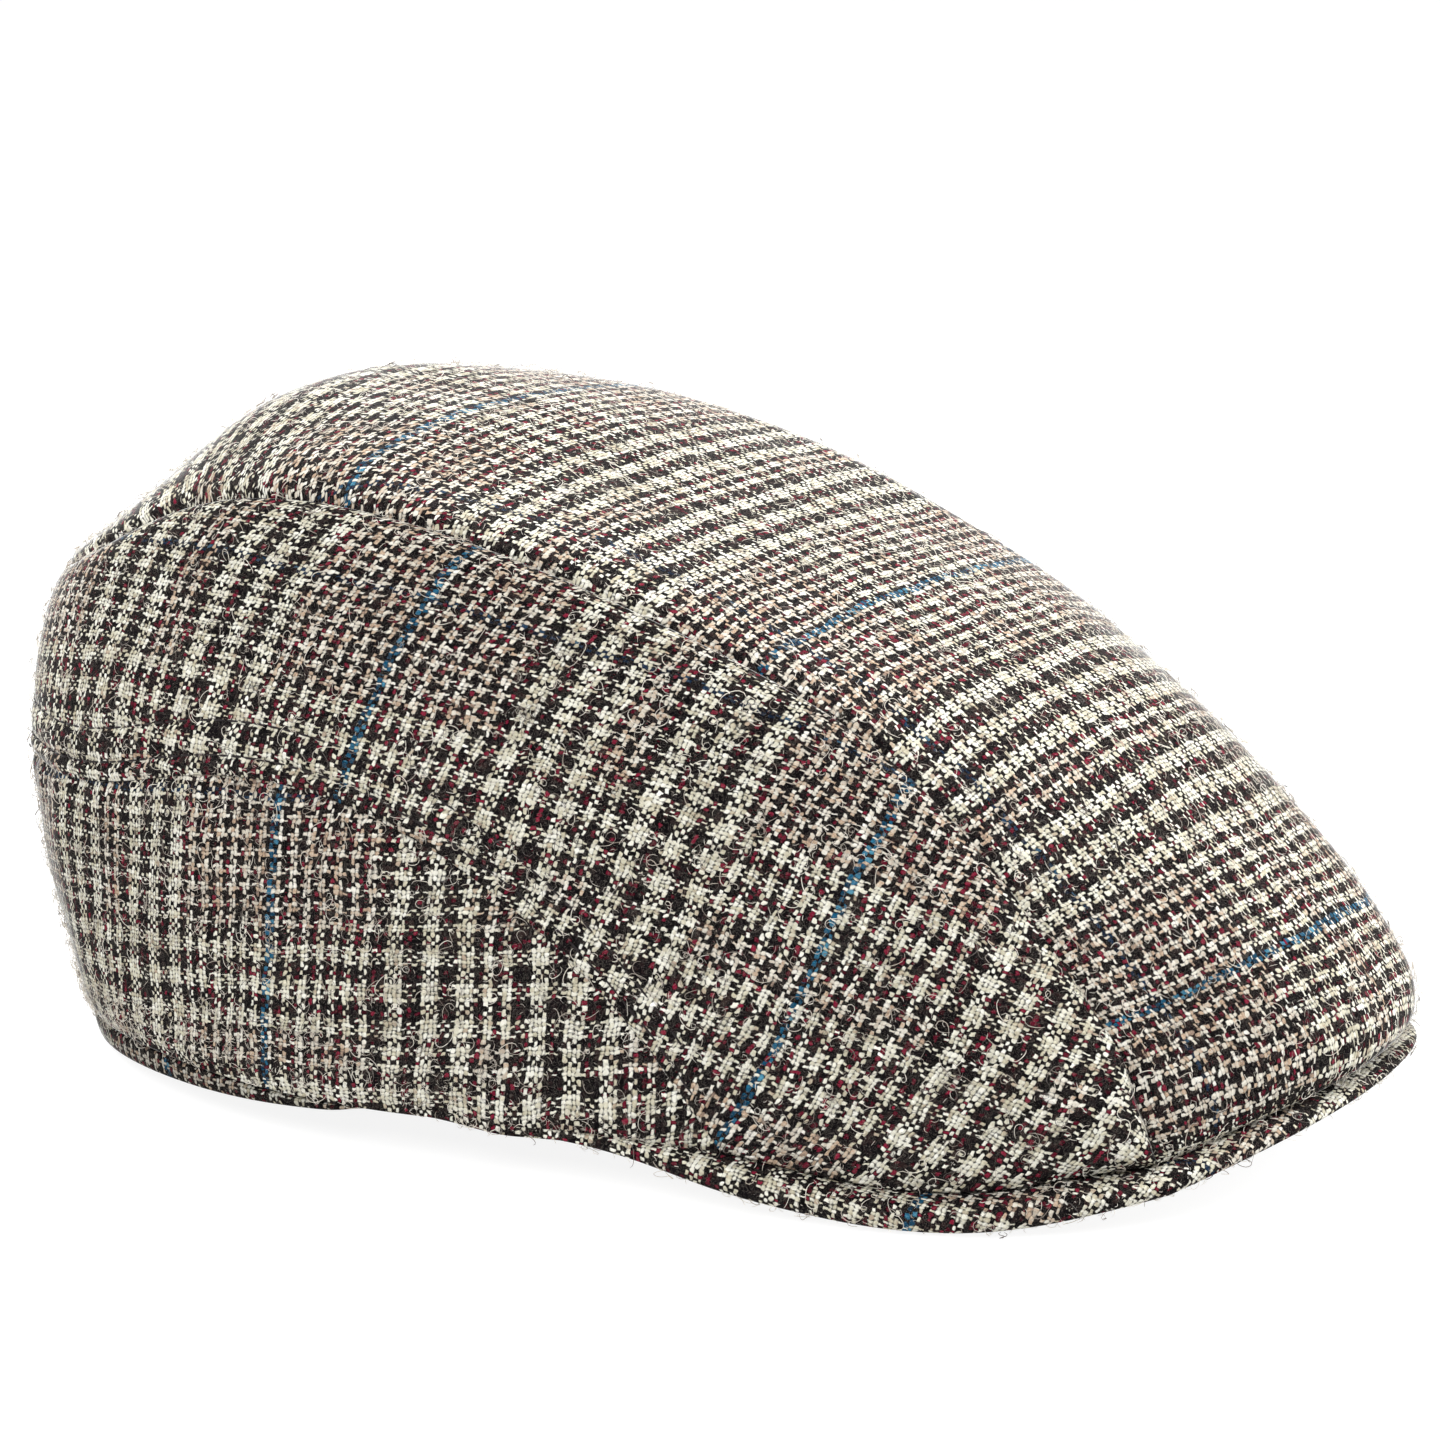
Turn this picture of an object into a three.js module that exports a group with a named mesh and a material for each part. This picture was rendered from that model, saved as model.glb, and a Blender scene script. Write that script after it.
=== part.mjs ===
import * as THREE from "three";

// Flat cap with folded-in ear flap, millimetres, +Z up.
// The peak points to -Y, the wearer's right is -X, the cap rests by itself on z = 0.

// Cloth and gaps
const CLOTH = 2.0; // outer cloth with its interlining
const SEAM_HALF_GAP = 0.2; // each panel stops this far from its seam line
const REST_GAP = 0.35; // between pieces that lie on each other
const NOSE_STEP = 0.25; // station step over which the side panel closes below the band's front end

// Peak
const LIP_WIDTH = 4.0; // how far the peak stands out beyond the crown's lower edge
const LIP_DEPTH = 6.3; // from the crown's lower edge down to the peak's lower edge
const PEAK_THICK = 4.4;
const PEAK_TIP_THICK = 1.2;
const PEAK_TIP_STATION = 4.2;
const PEAK_FULL_STATION = 5.7;
const LANDING = 3.4; // width of the level strip on which the crown's edge sits
const HEAD_HALF_WIDTH = 80.0; // inner edge of the peak, a half oval
const HEAD_FRONT = 98.0;
const ROOT_RISE = 17.0; // the peak's inner edge rises this much from its tips to the middle

// Ear flap, folded up inside the band
const FLAP_THICK = 2.6;
const FLAP_INSET = 0.5; // its folded edge stands this far behind the band's outer face
const FLAP_END_STATION = 4.8;
const FLAP_TUCK = 1.0; // beyond the folded strip the edge hides this far above the hem

// The wall swells most above its middle
const SWELL_SKEW = 0.3;

// How round the top is from side to side, at the back and at the front
const TOP_POWER_BACK = 2.0;
const TOP_POWER_FRONT = 2.24;

// Stations from the middle of the back round the side to the front corner.
// seam: where the top panel meets the side panel.  crest: the middle line of the top panel.
// low: the lowest edge seen from outside.  bulge: how far the wall swells between low and seam.
// split: height share of the seam between side panel and band.  fold: flap strip seen below the hem.
// flapTop: height of the flap's upper edge inside.
const COLUMNS = [
  "seamX", "seamY", "seamZ", "crestY", "crestZ", "lowX", "lowY", "lowZ", "bulge", "split", "fold", "flapTop",
];
const STATIONS = [
  [0.0, 109.8, 90.1, 109.8, 90.1, 0.0, 102.1, 0.0, 9.4, 0.57, 4.4, 47],
  [27.8, 102.0, 91.1, 101.8, 95.4, 34.0, 93.2, 0.0, 8.6, 0.60, 4.6, 48],
  [49.1, 78.0, 101.5, 82.0, 108.5, 61.6, 67.9, 2.6, 7.2, 0.55, 5.0, 53],
  [62.4, 40.5, 114.9, 53.9, 126.6, 79.2, 28.6, 5.4, 6.7, 0.55, 3.2, 60],
  [66.2, -5.8, 113.6, 12.0, 122.7, 83.5, -13.4, 9.7, 6.9, 0.473, 0.0, 58],
  [61.7, -50.2, 99.0, -40.4, 105.5, 79.9, -54.1, 10.7, 7.3, 0.17, 0.0, 40],
  [56.4, -87.2, 78.0, -97.4, 84.2, 76.1, -86.6, 7.2, 7.2, -0.35, 0.0, 30],
  [53.6, -113.8, 48.9, -138.2, 57.0, 69.7, -110.2, 6.7, 6.0, -0.5, 0.0, 30],
  [52.4, -130.2, 24.6, -160.8, 30.4, 61.1, -126.2, 9.5, 3.6, -0.6, 0.0, 30],
  [52.7, -136.2, 11.9, -157.4, 21.7, 52.7, -136.2, 11.9, 0.0, -0.7, 0.0, 30],
];
const LAST = STATIONS.length - 1;
const CENTRE_Y = 22.67; // moves the whole cap so that the origin is under the middle of its length

// Natural cubic curves through the stations, with the other half's stations before the first
const MIRRORED = [3, 2, 1].map((i) =>
  STATIONS[i].map((value, c) => (COLUMNS[c] === "seamX" || COLUMNS[c] === "lowX" ? -value : value)),
);
const KNOTS = [...MIRRORED, ...STATIONS];
const BEND = COLUMNS.map((_, c) => {
  const y = KNOTS.map((row) => row[c]);
  const n = y.length;
  const m = new Array(n).fill(0);
  const diagonal = new Array(n).fill(4);
  const right = new Array(n).fill(0);
  for (let i = 1; i < n - 1; i++) {
    const w = i > 1 ? 1 / diagonal[i - 1] : 0;
    diagonal[i] = 4 - w;
    right[i] = 6 * (y[i + 1] - 2 * y[i] + y[i - 1]) - w * right[i - 1];
  }
  for (let i = n - 2; i > 0; i--) m[i] = (right[i] - m[i + 1]) / diagonal[i];
  return m;
});

function at(s) {
  const u = Math.min(Math.max(s + 3, 0), KNOTS.length - 1);
  const i = Math.min(Math.floor(u), KNOTS.length - 2);
  const b = u - i;
  const a = 1 - b;
  const row = {};
  COLUMNS.forEach((name, c) => {
    const curve = ((a ** 3 - a) * BEND[c][i] + (b ** 3 - b) * BEND[c][i + 1]) / 6;
    row[name] = a * KNOTS[i][c] + b * KNOTS[i + 1][c] + curve;
  });
  row.fold = Math.max(row.fold, 0);
  row.lowZ = Math.max(row.lowZ, 0);
  return row;
}

const vec = (x, y, z) => new THREE.Vector3(x, y, z);
const mix = (a, b, t) => a.clone().lerp(b, t);
const clamp = (x, lo, hi) => Math.min(Math.max(x, lo), hi);
const ease = (x) => {
  const t = clamp(x, 0, 1);
  return t * t * (3 - 2 * t);
};

// Outer face of the wall.  side is -1 for the wearer's right; s may be negative for the other side.
function wall(side, s, v) {
  const flip = s < 0 ? -side : side;
  const r = at(Math.abs(s));
  const low = vec(r.lowX, r.lowY, r.lowZ);
  const seam = vec(r.seamX, r.seamY, r.seamZ);
  const spineY = clamp((r.seamY + r.lowY) / 2, -90, 60);
  const out = vec((r.seamX + r.lowX) / 2, (r.seamY + r.lowY) / 2 - spineY, 0).normalize();
  const swell = 4 * v * (1 - v) * (1 + SWELL_SKEW * (2 * v - 1));
  const p = mix(low, seam, v).addScaledVector(out, swell * r.bulge);
  p.x *= flip;
  return p;
}

function wallNormal(side, s, v) {
  const e = 0.004;
  const ds = wall(side, s + e, v).sub(wall(side, s - e, v));
  const dv = wall(side, s, v + e).sub(wall(side, s, v - e));
  const n = ds.cross(dv).normalize();
  const p = wall(side, s, v);
  return n.dot(vec(p.x, p.y - clamp(p.y, -90, 60), 0)) < 0 ? n.negate() : n;
}

// Outer face of the top panel, t from -1 at the right seam to 1 at the left seam
function top(s, t) {
  const r = at(s);
  const w = Math.abs(t) ** (TOP_POWER_BACK + (TOP_POWER_FRONT - TOP_POWER_BACK) * (s / LAST));
  return vec(r.seamX * t, r.crestY + (r.seamY - r.crestY) * w, r.crestZ + (r.seamZ - r.crestZ) * w);
}

function topNormal(s, t) {
  const e = 0.004;
  const s0 = clamp(s, 0.08, LAST - e);
  const ds = top(s0 + e, t).sub(top(s0 - e, t));
  const dt = top(s0, Math.min(t + e, 1)).sub(top(s0, Math.max(t - e, -1)));
  return dt.cross(ds).negate().normalize();
}

// Both cloths are cut back to one shared line where they meet at an angle
function mitre(side, s) {
  const b = topNormal(s, side);
  if (s > LAST - 0.15) return b;
  const a = wallNormal(side, s, 1);
  return a.clone().add(b).divideScalar(Math.max(1 + a.dot(b), 0.6));
}

// Direction of the cut at a lower edge, kept from dipping on its way inward
function levelled(n) {
  return vec(n.x, n.y, Math.min(n.z, -0.03));
}

// A point beside the top seam, moved off it within the face that has this normal, away from the other face
function besideSeam(side, s, normal, inward) {
  const e = 0.01;
  const along = top(Math.min(s + e, LAST), side).sub(top(Math.max(s - e, 0), side)).normalize();
  const off = along.cross(normal).normalize();
  if (off.dot(inward) < 0) off.negate();
  return top(s, side).addScaledVector(off, SEAM_HALF_GAP);
}

const spread = (from, to, n) => Array.from({ length: n + 1 }, (_, i) => from + ((to - from) * i) / n);
const wallHeight = (s) => wall(1, s, 1).distanceTo(wall(1, s, 0));
const hemShare = (s) => at(s).fold / wallHeight(s);

function solveStation(test, lo, hi) {
  for (let i = 0; i < 40; i++) {
    const mid = (lo + hi) / 2;
    if (test(mid) > 0) lo = mid;
    else hi = mid;
  }
  return lo;
}

// The band narrows to a short front end above the peak's tip; the side panel ends in a narrow point
const BAND_END = solveStation((s) => at(s).split * wallHeight(s) - 4, 4.5, 6);
const SIDE_END = solveStation((s) => wallHeight(s) - 4, 8, 9);

// Neighbouring panels share these stations, so that their edges run side by side
const BACK_GAP = 0.006; // station share that keeps the two sides apart at the back seam
const BACK_STATIONS = spread(0.3, BAND_END, 17);
const FRONT_STATIONS = spread(BAND_END + NOSE_STEP, SIDE_END, 11);

// Closed body from points and faces given as rings of corners; coincident corners become one
class Body {
  constructor() {
    this.points = [];
    this.faces = [];
    this.known = new Map();
  }

  corner(p) {
    const key = [p.x, p.y, p.z].map((c) => Math.round(c * 2000)).join();
    if (!this.known.has(key)) {
      this.known.set(key, this.points.length);
      this.points.push(p.x, p.y, p.z);
      return this.points.length - 3;
    }
    return this.known.get(key);
  }

  triangle(a, b, c) {
    const ring = [a, b, c].map((p) => this.corner(p) / 3);
    if (new Set(ring).size === 3) this.faces.push(...ring);
  }

  quad(a, b, c, d) {
    if (a.distanceToSquared(c) <= b.distanceToSquared(d)) {
      this.triangle(a, b, c);
      this.triangle(a, c, d);
    } else {
      this.triangle(a, b, d);
      this.triangle(b, c, d);
    }
  }

  geometry() {
    const g = new THREE.BufferGeometry();
    g.setAttribute("position", new THREE.Float32BufferAttribute(this.points, 3));
    g.setIndex(this.signed() < 0 ? this.faces.slice().reverse() : this.faces);
    g.computeVertexNormals();
    return g;
  }

  signed() {
    let sum = 0;
    const p = (i) => vec(this.points[3 * i], this.points[3 * i + 1], this.points[3 * i + 2]);
    for (let i = 0; i < this.faces.length; i += 3) {
      const [a, b, c] = [p(this.faces[i]), p(this.faces[i + 1]), p(this.faces[i + 2])];
      sum += a.dot(b.cross(c));
    }
    return sum;
  }
}

// A sheet between an outer and an inner grid of points
function sheet(outer, inner) {
  const body = new Body();
  const rows = outer.length - 1;
  const cols = outer[0].length - 1;
  for (let i = 0; i < rows; i++) {
    for (let j = 0; j < cols; j++) {
      body.quad(outer[i][j], outer[i + 1][j], outer[i + 1][j + 1], outer[i][j + 1]);
      body.quad(inner[i][j], inner[i][j + 1], inner[i + 1][j + 1], inner[i + 1][j]);
    }
    body.quad(outer[i][0], inner[i][0], inner[i + 1][0], outer[i + 1][0]);
    body.quad(outer[i + 1][cols], inner[i + 1][cols], inner[i][cols], outer[i][cols]);
  }
  for (let j = 0; j < cols; j++) {
    body.quad(outer[0][j], outer[0][j + 1], inner[0][j + 1], inner[0][j]);
    body.quad(outer[rows][j + 1], outer[rows][j], inner[rows][j], inner[rows][j + 1]);
  }
  return body.geometry();
}

// A body through closed rings of points, its two ends filled
function loft(rings) {
  const body = new Body();
  const n = rings[0].length;
  for (let i = 0; i < rings.length - 1; i++) {
    for (let j = 0; j < n; j++) {
      const k = (j + 1) % n;
      body.quad(rings[i][j], rings[i + 1][j], rings[i + 1][k], rings[i][k]);
    }
  }
  const cap = (ring, turn) => {
    const flat = ring.map((p) => new THREE.Vector2(p.distanceTo(ring[0]), 0));
    const u = ring[Math.floor(n / 2)].clone().sub(ring[0]).normalize();
    const w = vec(0, 0, 1).addScaledVector(u, -u.z).normalize();
    ring.forEach((p, i) => {
      const d = p.clone().sub(ring[0]);
      flat[i].set(d.dot(u), d.dot(w));
    });
    for (const [a, b, c] of THREE.ShapeUtils.triangulateShape(flat, [])) {
      if (turn) body.triangle(ring[a], ring[c], ring[b]);
      else body.triangle(ring[a], ring[b], ring[c]);
    }
  };
  const turned = THREE.ShapeUtils.isClockWise(
    rings[0].map((p) => {
      const u = rings[0][Math.floor(n / 2)].clone().sub(rings[0][0]).normalize();
      const w = vec(0, 0, 1).addScaledVector(u, -u.z).normalize();
      const d = p.clone().sub(rings[0][0]);
      return new THREE.Vector2(d.dot(u), d.dot(w));
    }),
  );
  cap(rings[0], turned);
  cap(rings[rings.length - 1], !turned);
  return body.geometry();
}

// Wall panel between two height curves
function wallPanel(side, stations, lower, upper, n, mitred) {
  const outer = [];
  const inner = [];
  for (const s of stations) {
    const h = wallHeight(s);
    const v0 = lower(s, h);
    const v1 = upper(s, h);
    const rowOut = [];
    const rowIn = [];
    for (let j = 0; j <= n; j++) {
      const v = v0 + ((v1 - v0) * j) / n;
      const atSeam = mitred && j === n;
      const normal = wallNormal(side, s, v);
      const p = atSeam ? besideSeam(side, s, normal, wall(side, s, 0.5).sub(wall(side, s, 1))) : wall(side, s, v);
      const away = atSeam ? mitre(side, s) : j === 0 ? levelled(normal) : normal;
      rowOut.push(p);
      rowIn.push(p.clone().addScaledVector(away, -CLOTH));
    }
    outer.push(rowOut);
    inner.push(rowIn);
  }
  return sheet(outer, inner);
}

function sidePanel(side) {
  const stations = [BACK_GAP, ...BACK_STATIONS, BAND_END + 0.012, BAND_END + 0.024, ...FRONT_STATIONS];
  const lower = (s, h) =>
    s < BAND_END + 0.018 ? at(s).split + SEAM_HALF_GAP / h : hemShare(s);
  return wallPanel(side, stations, lower, (s, h) => 1 - SEAM_HALF_GAP / h, 8, true);
}

function bandPanel(side) {
  const stations = [BACK_GAP, ...BACK_STATIONS];
  return wallPanel(side, stations, hemShare, (s, h) => at(s).split - SEAM_HALF_GAP / h, 6, false);
}

// Shares across the top panel, closer together towards its two seams
const ACROSS = spread(-1, 1, 20).map((a) => Math.sin(0.3 * Math.PI * a) / Math.sin(0.3 * Math.PI));

// Nearest station of the top seam to a point of the top panel, and its distance
const SEAM_SAMPLES = spread(0, LAST, 240);

function nearestSeam(p, side) {
  let best = { s: 0, d: Infinity };
  for (const s of SEAM_SAMPLES) {
    const d = top(s, side).distanceTo(p);
    if (d < best.d) best = { s, d };
  }
  return best;
}

function topPanel() {
  const stations = [0.03, ...BACK_STATIONS, ...FRONT_STATIONS, LAST];
  const outer = [];
  const inner = [];
  stations.forEach((s, i) => {
    const rowOut = [];
    const rowIn = [];
    for (const t of ACROSS) {
      const atSeam = Math.abs(t) > 0.999;
      const normal = topNormal(s, t);
      const p = atSeam ? besideSeam(t, s, normal, top(s, 0.5 * t).sub(top(s, t))) : top(s, t);
      if (i === 0 && !atSeam) p.add(top(0.2, 0).sub(top(0.1, 0)).setLength(SEAM_HALF_GAP));
      const side = t < 0 ? -1 : 1;
      const near = nearestSeam(p, side);
      const cut = mitre(side, Math.max(atSeam ? s : near.s, 0.05));
      const turned = atSeam ? cut : cut.lerp(normal, ease(near.d / (1.2 * CLOTH)));
      const away = s === LAST ? levelled(turned) : turned;
      rowOut.push(p);
      rowIn.push(p.clone().addScaledVector(away, -CLOTH));
    }
    outer.push(rowOut);
    inner.push(rowIn);
  });
  return sheet(outer, inner);
}

// The crown's lower edge over the peak, from the right tip over the front to the left tip
function lipLine() {
  const half = spread(PEAK_TIP_STATION, LAST, 22).map((s) => ({
    p: wall(-1, s, 0),
    full: ease((s - 4) / 1.6) * ease((s - PEAK_TIP_STATION) / (PEAK_FULL_STATION - PEAK_TIP_STATION) + 0.25),
  }));
  const front = ACROSS.slice(1, -1).map((t) => ({ p: top(LAST, t), full: 1 }));
  const other = half
    .slice()
    .reverse()
    .map(({ p, full }) => ({ p: vec(-p.x, p.y, p.z), full }));
  const line = [...half, ...front, ...other];
  let run = 0;
  line.forEach((q, i) => {
    run += i ? q.p.distanceTo(line[i - 1].p) : 0;
    q.run = run;
    const a = line[Math.max(i - 1, 0)].p;
    const b = line[Math.min(i + 1, line.length - 1)].p;
    q.out = vec(b.y - a.y, a.x - b.x, 0).normalize();
    if (q.out.dot(vec(q.p.x, q.p.y + 60, 0)) < 0) q.out.negate();
  });
  line.forEach((q) => {
    q.share = q.run / run;
  });
  return line;
}

// Section of the peak's rolled edge: share of LIP_WIDTH outward, share of LIP_DEPTH down
const LIP_SECTION = [
  [-0.2, 0.0],
  [0.45, 0.06],
  [0.85, 0.2],
  [1.03, 0.42],
  [1.05, 0.66],
  [0.85, 0.9],
  [0.4, 1.0],
];

function peak() {
  const tip = Math.asin((-at(PEAK_TIP_STATION).lowY) / HEAD_FRONT);
  const tipZ = at(PEAK_TIP_STATION).lowZ - REST_GAP;
  const rings = lipLine().map(({ p, out, share, full }) => {
    const angle = tip + (Math.PI - 2 * tip) * share;
    const rise = Math.sin(Math.PI * share) ** 2;
    const thick = PEAK_TIP_THICK + (PEAK_THICK - PEAK_TIP_THICK) * full;
    const depth = PEAK_TIP_THICK + (LIP_DEPTH - REST_GAP - PEAK_TIP_THICK) * full;
    const root = vec(-HEAD_HALF_WIDTH * Math.cos(angle), -HEAD_FRONT * Math.sin(angle), tipZ + ROOT_RISE * rise);
    const level = p.z - REST_GAP;
    const ring = LIP_SECTION.map(([o, d]) => {
      const q = p.clone().addScaledVector(out, LIP_WIDTH * (o * full - 0.1 * (1 - full)));
      q.z = Math.max(level - d * depth, 0);
      return q;
    });
    const inner = p.clone().addScaledVector(out, -LANDING);
    inner.z = level;
    const width = inner.distanceTo(root);
    const under = (q, share) => {
      const low = q.clone();
      low.z -= thick + (depth - thick) * share;
      return low;
    };
    const nearRoot = mix(root, inner, clamp(0.8 / Math.max(width, 1), 0, 0.5));
    const rootTop = vec(nearRoot.x, nearRoot.y, nearRoot.z);
    const face = root.clone();
    face.z -= thick / 2;
    const half = mix(root, inner, 0.5);
    half.z += 0.4 * full;
    return [
      ...ring,
      under(inner, 0.5),
      under(half, 0),
      under(rootTop, 0),
      face,
      rootTop,
      half,
      inner,
    ];
  });
  return loft(rings);
}

// The flap hangs from the hem inside the band; its folded lower edge shows as a strip below the hem
function earFlap() {
  const back = CLOTH + REST_GAP;
  const rings = spread(-FLAP_END_STATION, FLAP_END_STATION, 52).map((s) => {
    const a = Math.abs(s);
    const r = at(a);
    const h = wallHeight(a);
    const shown = ease(r.fold / 2);
    const hem = r.fold;
    const drop = r.fold - FLAP_TUCK * (1 - shown);
    const bottom = hem - drop;
    const ledge = Math.max(hem - REST_GAP, bottom + 0.2);
    const beadOut = back + (FLAP_INSET - back) * ease(drop - REST_GAP - 0.4);
    const endRound = 1 - 0.35 * ease((a - 4.2) / 0.6);
    const topEdge = r.flapTop * endRound - r.lowZ;
    const point = (offset, height) => {
      const v = height / h;
      const p = wall(-1, -s, v);
      return p.addScaledVector(wallNormal(-1, -s, v), -offset);
    };
    const flat = (offset, height) => {
      const p = point(offset, height);
      if (shown > 0.99) p.z = Math.max(r.lowZ + height, 0);
      return p;
    };
    const inside = back + FLAP_THICK;
    const climb = (k) => ledge + 1.5 + ((topEdge - ledge - 1.5) * k) / 5;
    const round = Math.min(0.9, (ledge - bottom) * 0.45);
    return [
      flat(beadOut + 0.7, bottom),
      flat(beadOut, bottom + round),
      point(beadOut, ledge),
      point(back, ledge),
      ...[0, 1, 2, 3, 4].map((k) => point(back, climb(k))),
      point(back, climb(5) - 0.6),
      point(back + FLAP_THICK / 2, climb(5)),
      point(inside, climb(5) - 0.6),
      ...[4, 3, 2, 1, 0].map((k) => point(inside, climb(k))),
      flat(inside, bottom + 0.9),
      flat(inside - 0.8, bottom),
    ];
  });
  return loft(rings);
}

const tweed = new THREE.MeshStandardMaterial({ color: 0x8d857a, roughness: 0.95, metalness: 0 });
const tweedPeak = new THREE.MeshStandardMaterial({ color: 0x857d72, roughness: 0.95, metalness: 0 });
const flapCloth = new THREE.MeshStandardMaterial({ color: 0x7d766c, roughness: 0.95, metalness: 0 });

const cap = new THREE.Group();
cap.name = "flat_cap";
cap.position.y = CENTRE_Y;
const pieces = [
  ["crown_top", topPanel(), tweed],
  ["side_right", sidePanel(-1), tweed],
  ["side_left", sidePanel(1), tweed],
  ["band_right", bandPanel(-1), tweed],
  ["band_left", bandPanel(1), tweed],
  ["peak", peak(), tweedPeak],
  ["ear_flap", earFlap(), flapCloth],
];
for (const [name, geometry, material] of pieces) {
  const mesh = new THREE.Mesh(geometry, material);
  mesh.name = name;
  cap.add(mesh);
}

export default cap;
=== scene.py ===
"""Looks of a tweed flat cap with an ear flap folded up inside its band."""

import math

import bpy
import numpy as np
from mathutils import Matrix, Vector


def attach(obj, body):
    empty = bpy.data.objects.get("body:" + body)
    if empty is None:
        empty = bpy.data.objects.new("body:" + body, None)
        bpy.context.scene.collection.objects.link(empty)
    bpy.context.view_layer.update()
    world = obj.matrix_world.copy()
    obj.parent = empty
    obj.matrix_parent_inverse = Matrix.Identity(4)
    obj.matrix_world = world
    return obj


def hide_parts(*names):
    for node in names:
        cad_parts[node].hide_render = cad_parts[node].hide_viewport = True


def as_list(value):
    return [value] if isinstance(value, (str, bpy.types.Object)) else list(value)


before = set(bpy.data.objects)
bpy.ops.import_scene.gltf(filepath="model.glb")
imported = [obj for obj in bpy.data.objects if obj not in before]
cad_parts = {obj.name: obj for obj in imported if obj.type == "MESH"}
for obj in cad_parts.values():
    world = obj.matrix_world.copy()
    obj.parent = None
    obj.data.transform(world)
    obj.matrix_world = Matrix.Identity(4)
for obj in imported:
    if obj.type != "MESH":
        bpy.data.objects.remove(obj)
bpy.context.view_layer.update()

# Shape of the cap, in millimetres: the same table as the part's source. Its columns up to bulge are not
# set by hand: a least-squares fit to the photograph's outline and seams gave them, rounded.
CENTRE_Y = 22.67
SWELL_SKEW = 0.3
TOP_POWER_BACK = 2.0
TOP_POWER_FRONT = 2.24
COLUMNS = (
    "seamX", "seamY", "seamZ", "crestY", "crestZ", "lowX", "lowY", "lowZ", "bulge", "split", "fold",
    "flapTop",
)
STATIONS = np.array([
    [0.0, 109.8, 90.1, 109.8, 90.1, 0.0, 102.1, 0.0, 9.4, 0.57, 4.4, 47],
    [27.8, 102.0, 91.1, 101.8, 95.4, 34.0, 93.2, 0.0, 8.6, 0.60, 4.6, 48],
    [49.1, 78.0, 101.5, 82.0, 108.5, 61.6, 67.9, 2.6, 7.2, 0.55, 5.0, 53],
    [62.4, 40.5, 114.9, 53.9, 126.6, 79.2, 28.6, 5.4, 6.7, 0.55, 3.2, 60],
    [66.2, -5.8, 113.6, 12.0, 122.7, 83.5, -13.4, 9.7, 6.9, 0.473, 0.0, 58],
    [61.7, -50.2, 99.0, -40.4, 105.5, 79.9, -54.1, 10.7, 7.3, 0.17, 0.0, 40],
    [56.4, -87.2, 78.0, -97.4, 84.2, 76.1, -86.6, 7.2, 7.2, -0.35, 0.0, 30],
    [53.6, -113.8, 48.9, -138.2, 57.0, 69.7, -110.2, 6.7, 6.0, -0.5, 0.0, 30],
    [52.4, -130.2, 24.6, -160.8, 30.4, 61.1, -126.2, 9.5, 3.6, -0.6, 0.0, 30],
    [52.7, -136.2, 11.9, -157.4, 21.7, 52.7, -136.2, 11.9, 0.0, -0.7, 0.0, 30],
])
LAST = len(STATIONS) - 1
# The cloth's thickness, and the gap between pieces that lie on each other
CLOTH = 1.7
REST_GAP = 0.35
# The peak: its lip's width and depth, its thickness in full and at its tips, the stations where each
# starts, and how far it reaches in under the crown's edge
LIP_WIDTH = 4.0
LIP_DEPTH = 6.3
PEAK_THICK = 4.4
PEAK_TIP_THICK = 1.2
PEAK_TIP_STATION = 4.2
PEAK_FULL_STATION = 5.7
LANDING = 3.4
# The top seam is rounded over this near it
SOFT = 11.0
# How far the cloth is drawn down at the front corners, beyond that in the middle of the front edge, and
# at the peak's tips
CORNER_SAG = 1.7
FRONT_SAG = 1.9
TIP_SAG = 2.4
# The head's oval, which the peak's inner edge follows, and how far that edge rises in its middle
HEAD_HALF_WIDTH = 80.0
HEAD_FRONT = 98.0
ROOT_RISE = 17.0
# The ear flap: how deep it lies inside the wall's face, its thickness, how deep its folded edge lies,
# the station where it ends, and how far it is tucked up there
FLAP_BACK = 2.35
FLAP_THICK = 2.6
FLAP_INSET = 0.5
FLAP_END_STATION = 4.8
FLAP_TUCK = 1.0
# The cap's middle line, from which its faces look away
MIDDLE_FRONT = -90
MIDDLE_BACK = 60
MIDDLE_HEIGHT = 20.0
# Stations of the top seam's crease: where it starts to fade, over how much of one, and the last that it
# is worked out for
CREASE_FADES = 7.7
CREASE_FADE = 0.5
CREASE_LAST = 8.3
BESIDE_SEAM = 0.98

# Weave, in millimetres and yarns
CROSS_YARN = 0.88
LENGTH_YARN = 0.783
# Yarns in a repeat, and which of them is the second of the blue pair
CROSS_REPEAT = 108
CROSS_BLUE = 82
LENGTH_REPEAT = 116
LENGTH_BLUE = 86
# Each repeat starts with three pairs of four, two of two and three of four; the rest are pairs of two.
# Where the two of two have their middle, half their width, and where the last of four ends
MIDST = 27.5
MIDST_HALF = 4.0
FOURS_END = 55.5


def curves(table):
    """Second derivatives of the natural cubic curves through the rows of a table at whole stations."""
    n = len(table)
    side = np.ones(n - 3)
    system = np.diag(np.full(n - 2, 4.0)) + np.diag(side, 1) + np.diag(side, -1)
    bend = np.zeros_like(table)
    bend[1:-1] = np.linalg.solve(system, 6 * (table[2:] - 2 * table[1:-1] + table[:-2]))
    return bend


MIRROR = np.array([-1.0 if name in ("seamX", "lowX") else 1.0 for name in COLUMNS])
KNOTS = np.vstack([STATIONS[3:0:-1] * MIRROR, STATIONS])
BEND = curves(KNOTS)


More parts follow.
